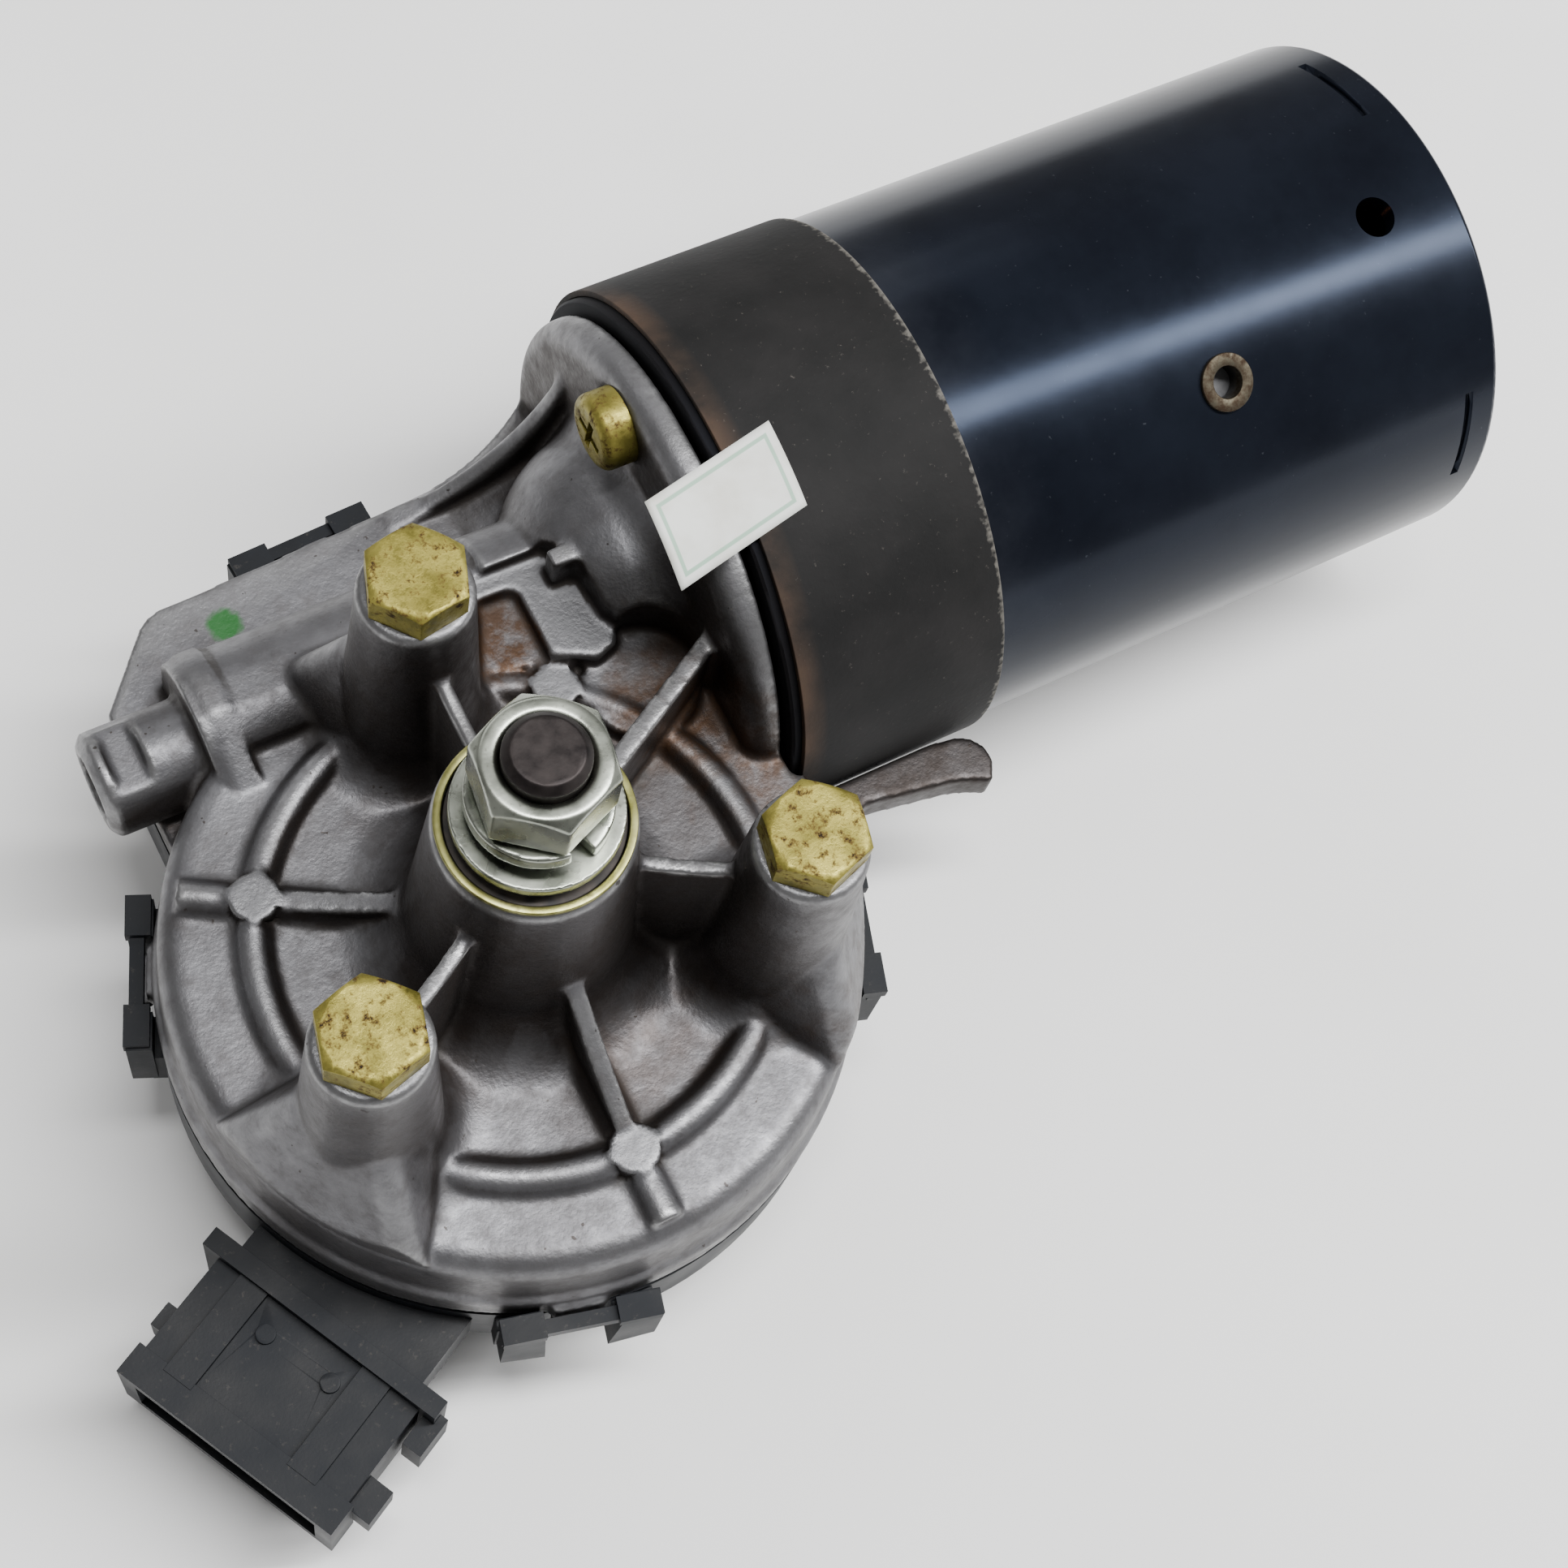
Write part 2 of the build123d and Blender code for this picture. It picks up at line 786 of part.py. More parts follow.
def commutator_bars():
    """Copper segments with risers at the winding end."""
    bar = revolve(
        worm_plane * outline(
            (commutator_left, 8.45),
            (commutator_left, commutator_r),
            (commutator_right - 2, commutator_r),
            (commutator_right - 1.6, commutator_r + 1.6),
            (commutator_right, commutator_r + 1.6),
            (commutator_right, 8.45),
        ),
        worm_line,
        revolution_arc=360 / slot_count - 2.6,
    )
    return [around(360 / slot_count * i, bar) for i in range(slot_count)]


def magnet_arc(angle):
    left = core_left - magnet_overhang
    right = core_right + magnet_overhang
    ring = tube_x(magnet_outer_r, magnet_inner_r, left, right)
    half = 60 / tan(radians(25))
    wedge = Plane.YZ * outline((0, 0), (60, half), (60, -half))
    cutter = extrude(wedge, right - left, both=True)
    return around(angle, ring & (Pos((left + right) / 2, axis_y, axis_z) * cutter))


def magnet_clip(angle):
    """Sprung steel channel that pushes two magnets apart."""
    lip = 24.2
    shell = spun_arc(magnet_outer_r - 0.9, magnet_outer_r, 2 * lip)
    near = axis_y + magnet_inner_r + 1.4
    far = axis_y + magnet_outer_r - 0.5
    web = block(core_left - clip_overhang, core_right + clip_overhang, near, far, axis_z - 0.8, axis_z)
    shape = shell + around(lip, web) + around(-lip, Pos(0, 0, 0.8) * web)
    return around(angle, shape)


def spun_arc(inner, outer, spread):
    """Part of a tube around the motor's axis, centred on its +Y side."""
    left = core_left - clip_overhang
    right = core_right + clip_overhang
    face = worm_plane * outline((left, inner), (left, outer), (right, outer), (right, inner))
    return around(-spread / 2, revolve(face, worm_line, revolution_arc=spread))


def end_plate():
    right = end_plate_x + end_plate_thick
    return spun_x(
        (right, 0),
        (right, magnet_outer_r),
        (end_plate_x, magnet_outer_r),
        (end_plate_x, 10.6),
        (end_plate_x - 1, 9.6),
        (end_plate_x - 9, 9.6),
        (end_plate_x - 9, 7.6),
        (right - 1.6, 7.6),
        (right - 1.6, 0),
    )


def rear_bush():
    left = end_plate_x - 8.4
    right = end_plate_x - 1.6
    bore = armature_r + shaft_play
    return spun_x((left, bore), (left, 6.2), (((left + right) / 2, 7.5), (right, 6.2)), (right, bore))


def brush_board():
    ring = tube_x(magnet_outer_r, 13.4, board_x, board_x + board_thick)
    for angle in (screw_angle, screw_angle + 180):
        ring -= around(angle, rod_x(3.2, board_x - 1, board_x + 4, axis_y + screw_circle_r))
    return ring


def brush_holder(angle):
    half_x = brush_height / 2 + brush_gap
    half_y = brush_width / 2 + brush_gap
    base = board_x + board_thick
    shell = block(
        base,
        brush_x + half_x + holder_wall,
        axis_y + commutator_r + 1.2,
        axis_y + holder_far,
        axis_z - half_y - holder_wall,
        axis_z + half_y + holder_wall,
    )
    channel = block(
        brush_x - half_x,
        brush_x + half_x,
        axis_y + commutator_r,
        axis_y + holder_far - holder_wall,
        axis_z - half_y,
        axis_z + half_y,
    )
    return around(angle, shell - channel)


def carbon_brush(angle):
    body = block(
        brush_x - brush_height / 2,
        brush_x + brush_height / 2,
        axis_y + 9,
        axis_y + commutator_r + brush_length,
        axis_z - brush_width / 2,
        axis_z + brush_width / 2,
    )
    top = commutator_r + brush_length
    pocket = radial_rod(spring_r + spring_wire_r + 0.2, brush_x, top - brush_pocket, top + 1)
    return around(angle, body - rod_x(commutator_r + brush_gap, 40, 80) - pocket)


def brush_spring(angle, slack):
    """Coil between the holder's cap and the bottom of the brush's pocket."""
    near = commutator_r + brush_length - brush_pocket + 0.3 + spring_wire_r + slack
    far = holder_far - holder_wall - spring_wire_r - 0.05
    path = Helix(pitch=(far - near) / spring_turns, height=far - near, radius=spring_r)
    section = Plane(origin=path @ 0, z_dir=path % 0) * Circle(spring_wire_r)
    coil = sweep(section, path=path)
    return around(angle, Pos(brush_x, axis_y + near, axis_z) * Rot(-90, 0, 0) * coil)


def flange_screw(angle):
    """Pan head in a seat cut into the casting, with a cross recess."""
    left = screw_seat - screw_head
    head = spun_x(
        (left, 0),
        (left, screw_head_r - 1.3),
        ((left + 0.35, screw_head_r - 0.4), (left + 1.2, screw_head_r)),
        (screw_seat - 0.02, screw_head_r),
        (screw_seat - 0.02, 0),
    )
    body = head + rod_x(screw_r - 0.02, screw_seat - 1, can_left + 5)
    slot = block(left - 1, left + 1.5, axis_y - 2.3, axis_y + 2.3, axis_z - 0.5, axis_z + 0.5)
    for turn in (20, 110):
        body -= around(turn, slot)
    return around(angle, Pos(0, screw_circle_r, 0) * body)


def cover_block(low, high, inset):
    """Solid with the casting's outline, drawn in by a wall, clear of the motor."""
    disc = rod_z(foot_r - inset, low, high)
    plate = plate_outline()
    if inset:
        plate = offset(plate, amount=-inset)
    left = flange_x - 3.2 - inset
    solid = disc + slab(plate, low, high) - rod_x(sleeve_r + 0.6 + inset, left, 90)
    solid -= block(left, 60, 50, 80, -80, 0)
    return solid - rod_x(bell_r + 0.6 + inset, tube_end - 0.6 - inset, 40)


def snap_loop(place):
    """Sprung loop that hooks under a lug of the casting; drawn at the origin, outwards along X."""
    top = joint_z + 2.0
    loop = block(1.0, loop_reach - 0.5, -loop_half, loop_half, joint_z, top)
    for side in (-1, 1):
        leg = outline(
            (side * 3.6, cover_floor),
            (side * loop_half, cover_floor + 2),
            (side * loop_half, top),
            (side * 4.4, top),
        )
        loop += extrude(Pos(0.25, 0, 0) * Plane.YZ * leg, loop_reach - 0.25)
        edge = sorted((side * 4.0, side * loop_half))
        loop += block(0.25, loop_reach, edge[0], edge[1], top - 1.0, top + 0.8)
        loop += block(-1.6, 0.6, edge[0], edge[1], cover_floor + 1, cover_top - 1.2)
    return place * loop


def snap_lug(place):
    lug = block(-0.6, 0.7, -3, 3, joint_z + 0.05, joint_z + 3)
    lug += block(0.1, 0.7, -3, 3, joint_z - 2.2, joint_z + 1)
    lug += block(0.1, 1.7, -3, 3, joint_z - 2.2, joint_z - 0.35)
    return place * lug


def loop_locations():
    spots = [Rot(0, 0, angle) * Pos(foot_r, 0, 0) for angle in loop_angles]
    return spots + [Pos(0.4, 56.45, 0) * Rot(0, 0, 92.9)]


def plug_block(x0, x1, y0, y1, z0, z1):
    """Block in the connector's own directions: outwards, across and up."""
    return plug_plane.location * block(x0, x1, y0, y1, z0, z1)


def connector_body():
    half = body_half
    shell = plug_block(flange_far - 1, socket_far, -half, half, body_low, body_top)
    shell += plug_block(socket_far - 3.8, socket_far, -half - 0.7, half + 0.7, body_low - 0.7, body_top + 0.7)
    shell += plug_block(flange_near, flange_far, -half - 2.1, half + 2.1, body_low - 1.6, body_top + 1.7)
    shell += plug_block(31, flange_near + 1, -12.4, 12.4, cover_floor, body_top + 0.9)
    for low, high in ((-10.6, -6.9), (6.1, 9.9)):
        shell += plug_block(flange_far, socket_far - 3, low, high, body_top - 1, body_top + 0.8)
    for y in (-4.4, 4.4):
        shell += plug_plane.location * rod_z(1.1, body_top - 1, body_top + 0.5, flange_far + 3.4, y)
    shell += plug_block(flange_far + 6.5, flange_far + 9.5, -half - 1.7, -half + 1, -59, -53)
    shell += plug_block(flange_far + 8.1, flange_far + 12.3, half - 1, half + 3.0, -59, -53)
    shell += plug_block(flange_near + 1, flange_far + 3.6, half + 0.6, half + 3.1, -60, -52)
    return shell


def rear_cover():
    inner = body_half - 1.6
    shape = cover_block(cover_floor, cover_top, 0)
    shape += connector_body()
    shape -= cover_block(cover_floor + cover_wall, cover_top + 5, cover_wall)
    shape -= plug_block(28, flange_near, -10.6, 10.6, cover_floor + cover_wall, body_top - 0.9)
    shape -= plug_block(flange_far + 2, socket_far + 1, -inner, inner, body_low + 1.6, body_top - 1.7)
    for y in pin_spots():
        shape -= plug_block(flange_near - 2, flange_far + 3, y - 1.4, y + 1.4, pin_z - 0.4, pin_z + 0.4)
    for x, y in ((-22, 20), (22, -18), (-6, -28)):
        shape += rod_z(2.4, cover_floor + 1, board_z - 1.2, x, y)
    shape += rod_z(3.4, cover_floor + 1, wheel_low - 3.4)
    for place in loop_locations():
        shape += snap_loop(place)
    return shape


def pin_spots():
    return [(i - (pin_count - 1) / 2) * pin_pitch for i in range(pin_count)]


def connector_pins():
    group = []
    for y in pin_spots():
        pin = plug_block(36, flange_far + 12.3, y - 1.4, y + 1.4, pin_z - 0.4, pin_z + 0.4)
        group.append(pin)
    return group


def contact_board():
    board = rod_z(29.2, board_z - 1.2, board_z) - rod_z(4.4, board_z - 3, board_z + 1)
    return board - block(18, 40, 3, 40, -60, -40)


def contact_fingers():
    """Sprung strips that press on the park switch track."""
    top = wheel_low - 0.75
    group = []
    for i in range(3):
        side = outline(
            (-18, board_z),
            (-10.5, board_z),
            (-1.2, top - 0.7),
            ((-0.4, top - 0.15), (0.4, top - 0.7)),
            (0.8, top - 0.5),
            ((-0.4, top + 0.35), (-1.5, top - 0.4)),
            (-10.8, board_z + 0.45),
            (-18, board_z + 0.45),
        )
        strip = extrude(Plane.XZ * side, 2.6)
        group.append(Pos(0, 15.4 + 4.2 * i, 0) * strip)
    return group


def cover_gasket():
    return cover_block(cover_top, joint_z, 0.3) - cover_block(cover_top - 1, joint_z + 1, 2.7)


def paper_label():
    """Thin stiff sheet stuck slightly askew on the band; its end stands free over the flange."""
    right = sleeve_left + 6.4
    sheet = tube_x(sleeve_r + 0.17, sleeve_r + 0.02, label_left - 1, right + 1)
    face = outline(
        (right, -label_half - label_skew),
        (right, label_half - label_skew),
        (label_left, label_half + label_skew),
        (label_left, label_skew - label_half),
    )
    stamp = Pos(0, axis_y + sleeve_r + 5, axis_z) * extrude(Plane.XZ * face, 10)
    return around(label_angle, sheet & stamp)


def parts():
    """Every named piece, with its shape or its group of separate shapes."""
    return {
        "gear_housing": gear_housing(),
        "output_shaft": output_shaft(),
        "shaft_seal": shaft_seal(),
        "seal_ring": seal_ring(),
        "upper_bush": tube_z(bush_r, shaft_r + shaft_play, -14.5, -3.4),
        "lower_bush": tube_z(bush_r, shaft_r + shaft_play, ceiling_z + 0.1, ceiling_z + 11),
        "output_washer": tube_z(washer_r, shaft_r + 0.1, washer_low, washer_top),
        "lock_washer": lock_washer(),
        "shaft_nut": shaft_nut(),
        "mounting_bolts": mounting_bolts(),
        "worm_wheel": worm_wheel(),
        "wheel_hub": wheel_hub(),
        "contact_disc": contact_disc(),
        "armature_shaft": armature_shaft(),
        "motor_can": motor_can(),
        "can_bush": can_bush(),
        "can_sleeve": tube_x(sleeve_r, can_r + can_play, sleeve_left, sleeve_right),
        "thrust_washer": tube_z(9.0, shaft_r + 0.15, wheel_top + 0.05, ceiling_z - 0.05),
        "shaft_clip": tube_z(6.8, shaft_r, wheel_low - 1.7, wheel_low - 0.6),
        "thrust_plug": thrust_plug(),
        "thrust_pad": rod_x(4.1, shaft_left - 1.55, shaft_left - 0.1),
        "worm_bush": worm_bush(),
        "bearing_outer_ring": tube_x(bearing_r, 9.2, bearing_left, bearing_left + bearing_width),
        "bearing_inner_ring": tube_x(5.9, armature_r, bearing_left, bearing_left + bearing_width),
        "bearing_balls": ball_ring(),
        "bearing_cage": bearing_cage(),
        "bearing_retainer": bearing_retainer(),
        "lamination_core": lamination_core(),
        "armature_windings": armature_windings(),
        "commutator_core": commutator_core(),
        "commutator_bars": commutator_bars(),
        "field_magnets": [magnet_arc(0), magnet_arc(180)],
        "magnet_clips": [magnet_clip(90), magnet_clip(270)],
        "end_plate": end_plate(),
        "rear_bush": rear_bush(),
        "brush_board": brush_board(),
        "brush_holders": [brush_holder(angle) for angle in brush_angles],
        "brush_common": carbon_brush(brush_angles[0]),
        "brush_low_speed": carbon_brush(brush_angles[1]),
        "brush_high_speed": carbon_brush(brush_angles[2]),
        "spring_common": brush_spring(brush_angles[0], 0),
        "spring_low_speed": brush_spring(brush_angles[1], 0),
        "spring_high_speed": brush_spring(brush_angles[2], brush_travel),
        "flange_screws": [flange_screw(screw_angle), flange_screw(screw_angle + 180)],
        "rear_cover": rear_cover(),
        "cover_gasket": cover_gasket(),
        "connector_pins": connector_pins(),
        "contact_board": contact_board(),
        "contact_fingers": contact_fingers(),
        "paper_label": paper_label(),
    }


def write_parts():
    os.makedirs("parts", exist_ok=True)
    for name, shape in parts().items():
        solids = shape if isinstance(shape, list) else [shape]
        export_step(Compound(children=[Part() + s for s in solids]), "parts/" + name + ".step")
        print(name, [round(s.volume, 1) for s in solids])


write_parts()
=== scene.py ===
# %% [markdown]
# # A wiper motor on a studio table
# The solid model comes in as a fixed frame, in metres, and never moves. This lesson
# dresses it: each outside piece gets soft, believable edges and every piece gets a
# finish made of shader nodes. The first cell loads the frame.

# %% Load the frame
import bpy
import bmesh
import json
import numpy as np
from math import asin, cos, radians, sin
from mathutils import Matrix, Vector
from mathutils.bvhtree import BVHTree


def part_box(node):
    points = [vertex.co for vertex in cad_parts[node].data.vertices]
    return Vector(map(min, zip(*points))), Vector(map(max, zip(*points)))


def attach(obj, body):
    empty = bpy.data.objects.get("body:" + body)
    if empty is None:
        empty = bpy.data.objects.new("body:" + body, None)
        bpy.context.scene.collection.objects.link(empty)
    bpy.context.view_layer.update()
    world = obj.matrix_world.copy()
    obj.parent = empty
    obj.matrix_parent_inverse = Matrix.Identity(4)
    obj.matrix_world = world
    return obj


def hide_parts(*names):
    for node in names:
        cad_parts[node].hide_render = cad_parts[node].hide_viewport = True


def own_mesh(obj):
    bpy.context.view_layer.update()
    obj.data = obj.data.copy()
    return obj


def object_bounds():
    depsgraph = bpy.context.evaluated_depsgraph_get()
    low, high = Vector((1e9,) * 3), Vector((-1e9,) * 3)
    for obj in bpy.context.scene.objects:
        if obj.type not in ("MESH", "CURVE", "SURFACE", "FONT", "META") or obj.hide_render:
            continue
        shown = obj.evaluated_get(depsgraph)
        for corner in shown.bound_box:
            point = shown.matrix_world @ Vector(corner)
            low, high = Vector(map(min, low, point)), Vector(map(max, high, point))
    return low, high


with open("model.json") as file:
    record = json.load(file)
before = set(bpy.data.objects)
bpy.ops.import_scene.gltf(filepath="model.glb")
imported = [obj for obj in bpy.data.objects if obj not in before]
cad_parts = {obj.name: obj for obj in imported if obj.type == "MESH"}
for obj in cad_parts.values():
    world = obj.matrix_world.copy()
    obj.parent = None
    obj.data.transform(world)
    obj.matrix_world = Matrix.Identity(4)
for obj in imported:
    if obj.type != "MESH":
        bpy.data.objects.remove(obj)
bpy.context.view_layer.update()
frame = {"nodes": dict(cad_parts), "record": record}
MM = 0.001
# The motor's axis runs along X through this point.
MOTOR_AXIS = Vector((0, 36.0, -37.5)) * MM
# Outer radii of the shell and of the band round it, in millimetres, as in the part.
SHELL_RADIUS = 32.2
BAND_RADIUS = 33.0
# About where the band starts and ends along the motor, in millimetres.
BAND_START = 38
BAND_END = 64.3
print("pieces in the frame:", len(frame["nodes"]))

# %% [markdown]
# ## The camera
# The picture was taken from above, with the motor running up to the right and the
# camera rolled a little to the left. A camera in Blender looks along its own -Z, so
# its turn is a matrix whose columns are its right, up and backward directions. These
# come from three angles that were fitted to the picture together with the lens.

# %% Camera
# Angles in radians, the place in millimetres from the frame's origin.
TURN, RISE, ROLL = -0.84118, 1.15011, 0.38192
CAMERA_PLACE = Vector((-55.52, -78.24, 239.31)) * MM
SENSOR_WIDTH = 36
FOCAL_LENGTH = 60.04

right = Vector((cos(TURN), sin(TURN), 0))
back = Vector((sin(TURN) * cos(RISE), -cos(TURN) * cos(RISE), sin(RISE)))
up = back.cross(right)
right_rolled = cos(ROLL) * right + sin(ROLL) * up
up_rolled = -sin(ROLL) * right + cos(ROLL) * up
camera_data = bpy.data.cameras.new("camera")
camera_data.sensor_width = SENSOR_WIDTH
camera_data.lens = FOCAL_LENGTH
camera_data.clip_start = 0.01
camera = bpy.data.objects.new("camera", camera_data)
bpy.context.scene.collection.objects.link(camera)
turned = Matrix((right_rolled, up_rolled, back)).transposed().to_4x4()
camera.matrix_world = Matrix.Translation(CAMERA_PLACE) @ turned
bpy.context.scene.camera = camera
print("camera height in mm:", round(camera.location.z / MM, 1))

# %% [markdown]
# ## Colours and nodes
# Colours are noted as the hex codes that a paint program shows. The renderer wants
# linear values, so one function turns them. A second small function adds a node,
# sets its options and fills or links its sockets, which keeps each finish readable.
# Most values of a noise texture lie near its middle, so patterns are usually
# stretched from that narrow span to the full range from 0 to 1.

# %% Colour and node helpers
NOISE_SPAN = (0.35, 0.65)


def linear(code):
    """Hex colour as seen on screen, turned to the renderer's linear red, green, blue."""
    parts = [int(code[i:i + 2], 16) / 255 for i in (1, 3, 5)]
    return [p / 12.92 if p <= 0.04045 else ((p + 0.055) / 1.055) ** 2.4 for p in parts] + [1]


def add(tree, kind, sockets=None, **settings):
    """Add a node, set its options, and fill each named socket with a value or a link."""
    node = tree.nodes.new("ShaderNode" + kind)
    for key, value in settings.items():
        setattr(node, key, value)
    for socket, value in (sockets or {}).items():
        if isinstance(value, bpy.types.NodeSocket):
            tree.links.new(value, node.inputs[socket])
        else:
            node.inputs[socket].default_value = value
    return node


def per_mm(size):
    """Texture scale that gives features of about this many millimetres."""
    return 1000 / size


def new_finish(name, metallic, roughness, **sockets):
    """Material with its shader's constant values set. Metals keep the default IOR."""
    material = bpy.data.materials.new(name)
    material.use_nodes = True
    tree = material.node_tree
    shader = tree.nodes["Principled BSDF"]
    shader.inputs["Metallic"].default_value = metallic
    shader.inputs["Roughness"].default_value = roughness
    for socket, value in sockets.items():
        shader.inputs[socket.replace("_", " ")].default_value = value
    place = add(tree, "TexCoord").outputs["Object"]
    return material, tree, shader, place


def grain(tree, place, size, detail=4, **extra):
    """Noise whose patches are about this many millimetres across."""
    values = {"Vector": place, "Scale": per_mm(size), "Detail": detail}
    values.update(extra)
    return add(tree, "TexNoise", values).outputs["Fac"]


def stretch(tree, value, low, high, to_low=0, to_high=1):
    """Spread a narrow band of a pattern over a new range."""
    return add(tree, "MapRange", {
        "Value": value, "From Min": low, "From Max": high, "To Min": to_low, "To Max": to_high,
    }).outputs["Result"]


def blend(tree, amount, first, second):
    """Mix two colours, given as hex codes or as links."""
    first = linear(first) if isinstance(first, str) else first
    second = linear(second) if isinstance(second, str) else second
    return add(tree, "MixRGB", {"Fac": amount, "Color1": first, "Color2": second}).outputs["Color"]


def sums(tree, operation, first, second):
    """One sum on two values, such as ADD, SUBTRACT, MULTIPLY, MINIMUM or MAXIMUM."""
    return add(tree, "Math", {0: first, 1: second}, operation=operation).outputs[0]


def relief(tree, height, depth, strength=1.0, under=None):
    """Bump of a given depth in millimetres."""
    sockets = {"Height": height, "Strength": strength, "Distance": depth * MM}
    if under:
        sockets["Normal"] = under
    return add(tree, "Bump", sockets).outputs["Normal"]


def feed(tree, shader, **links):
    """Link patterns to the shader's sockets, with an underscore for each space."""
    for socket, value in links.items():
        tree.links.new(value, shader.inputs[socket.replace("_", " ")])


def patch_at(tree, place, centre, radius, soft, wobble=None):
    """Mask that is one inside a ball at a place in millimetres and fades over a soft edge."""
    gap = add(tree, "VectorMath", {0: place, 1: Vector(centre) * MM}, operation="DISTANCE").outputs["Value"]
    if wobble is not None:
        gap = sums(tree, "ADD", gap, stretch(tree, wobble, 0.3, 0.7, -soft * MM, soft * MM))
    return stretch(tree, gap, (radius + soft) * MM, (radius - soft) * MM)


print("one pattern unit for 2 mm:", per_mm(2))

# %% [markdown]
# ## Die-cast aluminium
# The housing is pressure-cast aluminium alloy. It comes out of the mould with a dull
# grey skin, a fine orange-peel relief and a few small pits. Painted shade darkens what
# is sheltered and the side walls, where some oily film lies too, the creases get grime
# and painted shade, and open edges are rubbed bright. Where a cutter has passed it is
# flat and even. The mesh carries three numbers at each point, "hollow", "painted_shade"
# and "machined", and the finish reads them, so grime and painted shade lie on the real
# form, from whichever side it is seen.

# %% Cast aluminium
# Rust stains: middle in millimetres, radius, width of the soft edge, strength.
RUST_STAINS = (
    ((12.5, 31, -29.5), 5.4, 1.6, 0.9),
    ((29, 15, -30), 7.0, 4.0, 0.85),
    ((33, -1, -31), 5.0, 3.5, 0.6),
    ((33, 6, -33), 4.5, 3.0, 0.6),
    ((6, -19, -31), 5.0, 4.0, 0.25),
    ((27, -21, -31), 5.0, 4.0, 0.5),
)
# A dab of green paint on the base plate.
PAINT_DAB = (-12.6, 50.6, -41.4)
PAINT_DAB_RADIUS = 2.0


def cast_aluminium():
    material, tree, shader, place = new_finish("die_cast_aluminium", 0.75, 0.5)
    hollow = add(tree, "Attribute", attribute_name="hollow").outputs["Fac"]
    painted_shade = add(tree, "Attribute", attribute_name="painted_shade").outputs["Fac"]
    machined = add(tree, "Attribute", attribute_name="machined").outputs["Fac"]
    clouds = grain(tree, place, 14, 6, Roughness=0.65)
    mottle = grain(tree, place, 2.4, 5, Roughness=0.7)
    skin = grain(tree, place, 0.45, 3)
    colour = blend(tree, stretch(tree, clouds, *NOISE_SPAN), "#5c5b5d", "#78787b")
    colour = blend(tree, stretch(tree, mottle, 0.5, 0.78, 0, 0.45), colour, "#4c4745")
    # Painted shade: what the casting covers from the sky, its side walls and the tongue under the motor are
    # darkened, with some oily film on the walls.
    film = stretch(tree, painted_shade, 0.32, 0.78, 0, 0.9)
    film = sums(tree, "MULTIPLY", film, stretch(tree, mottle, 0.25, 0.6, 0.8, 1))
    colour = blend(tree, film, colour, "#302925")
    # Creases are darkened by grime and painted crease shade together.
    groove = stretch(tree, hollow, 0.6, 0.85)
    crease_grime_and_shade = sums(tree, "MULTIPLY", groove, stretch(tree, mottle, 0.2, 0.6, 0.35, 0.8))
    colour = blend(tree, crease_grime_and_shade, colour, "#241f1b")
    open_edge = stretch(tree, hollow, 0.42, 0.25)
    worn = sums(tree, "MULTIPLY", open_edge, stretch(tree, mottle, 0.3, 0.6, 0.7, 0.25))
    colour = blend(tree, worn, colour, "#979797")
    pits = grain(tree, place, 1.1, 2)
    colour = blend(tree, stretch(tree, pits, 0.73, 0.76, 0, 0.8), colour, "#38322e")
    wobble = grain(tree, place, 3.5, 5)
    for middle, radius, soft, strength in RUST_STAINS:
        mask = patch_at(tree, place, middle, radius, soft, wobble)
        speckled = sums(tree, "MULTIPLY", mask, stretch(tree, mottle, 0.36, 0.58, 0.25, strength))
        colour = blend(tree, speckled, colour, "#45301f")
    cut = sums(tree, "MULTIPLY", machined, stretch(tree, mottle, 0.3, 0.5, 0.6, 1))
    colour = blend(tree, cut, colour, "#6e6e70")
    paint = patch_at(tree, place, PAINT_DAB, PAINT_DAB_RADIUS, 0.35, grain(tree, place, 1.6, 3))
    colour = blend(tree, paint, colour, "#0f5719")
    rough = stretch(tree, mottle, 0.3, 0.7, 0.38, 0.56)
    rough = sums(tree, "ADD", rough, stretch(tree, crease_grime_and_shade, 0, 1, 0, 0.2))
    rough = sums(tree, "SUBTRACT", rough, stretch(tree, worn, 0, 1, 0, 0.12))
    metal = stretch(tree, sums(tree, "MAXIMUM", crease_grime_and_shade, paint), 0, 1, 0.85, 0.1)
    normal = relief(tree, skin, 0.05, 0.7, relief(tree, mottle, 0.16, 0.45))
    feed(tree, shader, Base_Color=colour, Roughness=rough, Metallic=metal, Normal=normal)
    return material


# %% [markdown]
# ## Plated steel
# The nut and washers are zinc plated: a pale, slightly greenish silver with soft
# reflections. The bolts and the flange screws have yellow chromate over zinc, which
# ages to ochre with brown and black specks where the plating has broken through.

# %% Zinc and yellow chromate
# Middle and radius of a dark disc of painted shade in the small bush's bore, in millimetres.
BORE_SHADE_MIDDLE = (98.2, 20.2, -12.1)
BORE_SHADE_RADIUS = 2.35


def zinc_plate():
    material, tree, shader, place = new_finish("zinc_plated_steel", 1.0, 0.3)
    clouds = grain(tree, place, 5, 4)
    fine = grain(tree, place, 0.5, 3)
    colour = blend(tree, stretch(tree, clouds, *NOISE_SPAN), "#868a80", "#aaaea3")
    colour = blend(tree, stretch(tree, fine, 0.6, 0.75, 0, 0.5), colour, "#4f4b44")
    feed(tree, shader, Base_Color=colour, Roughness=stretch(tree, clouds, 0.3, 0.7, 0.2, 0.36))
    feed(tree, shader, Normal=relief(tree, fine, 0.012, 0.6))
    return material


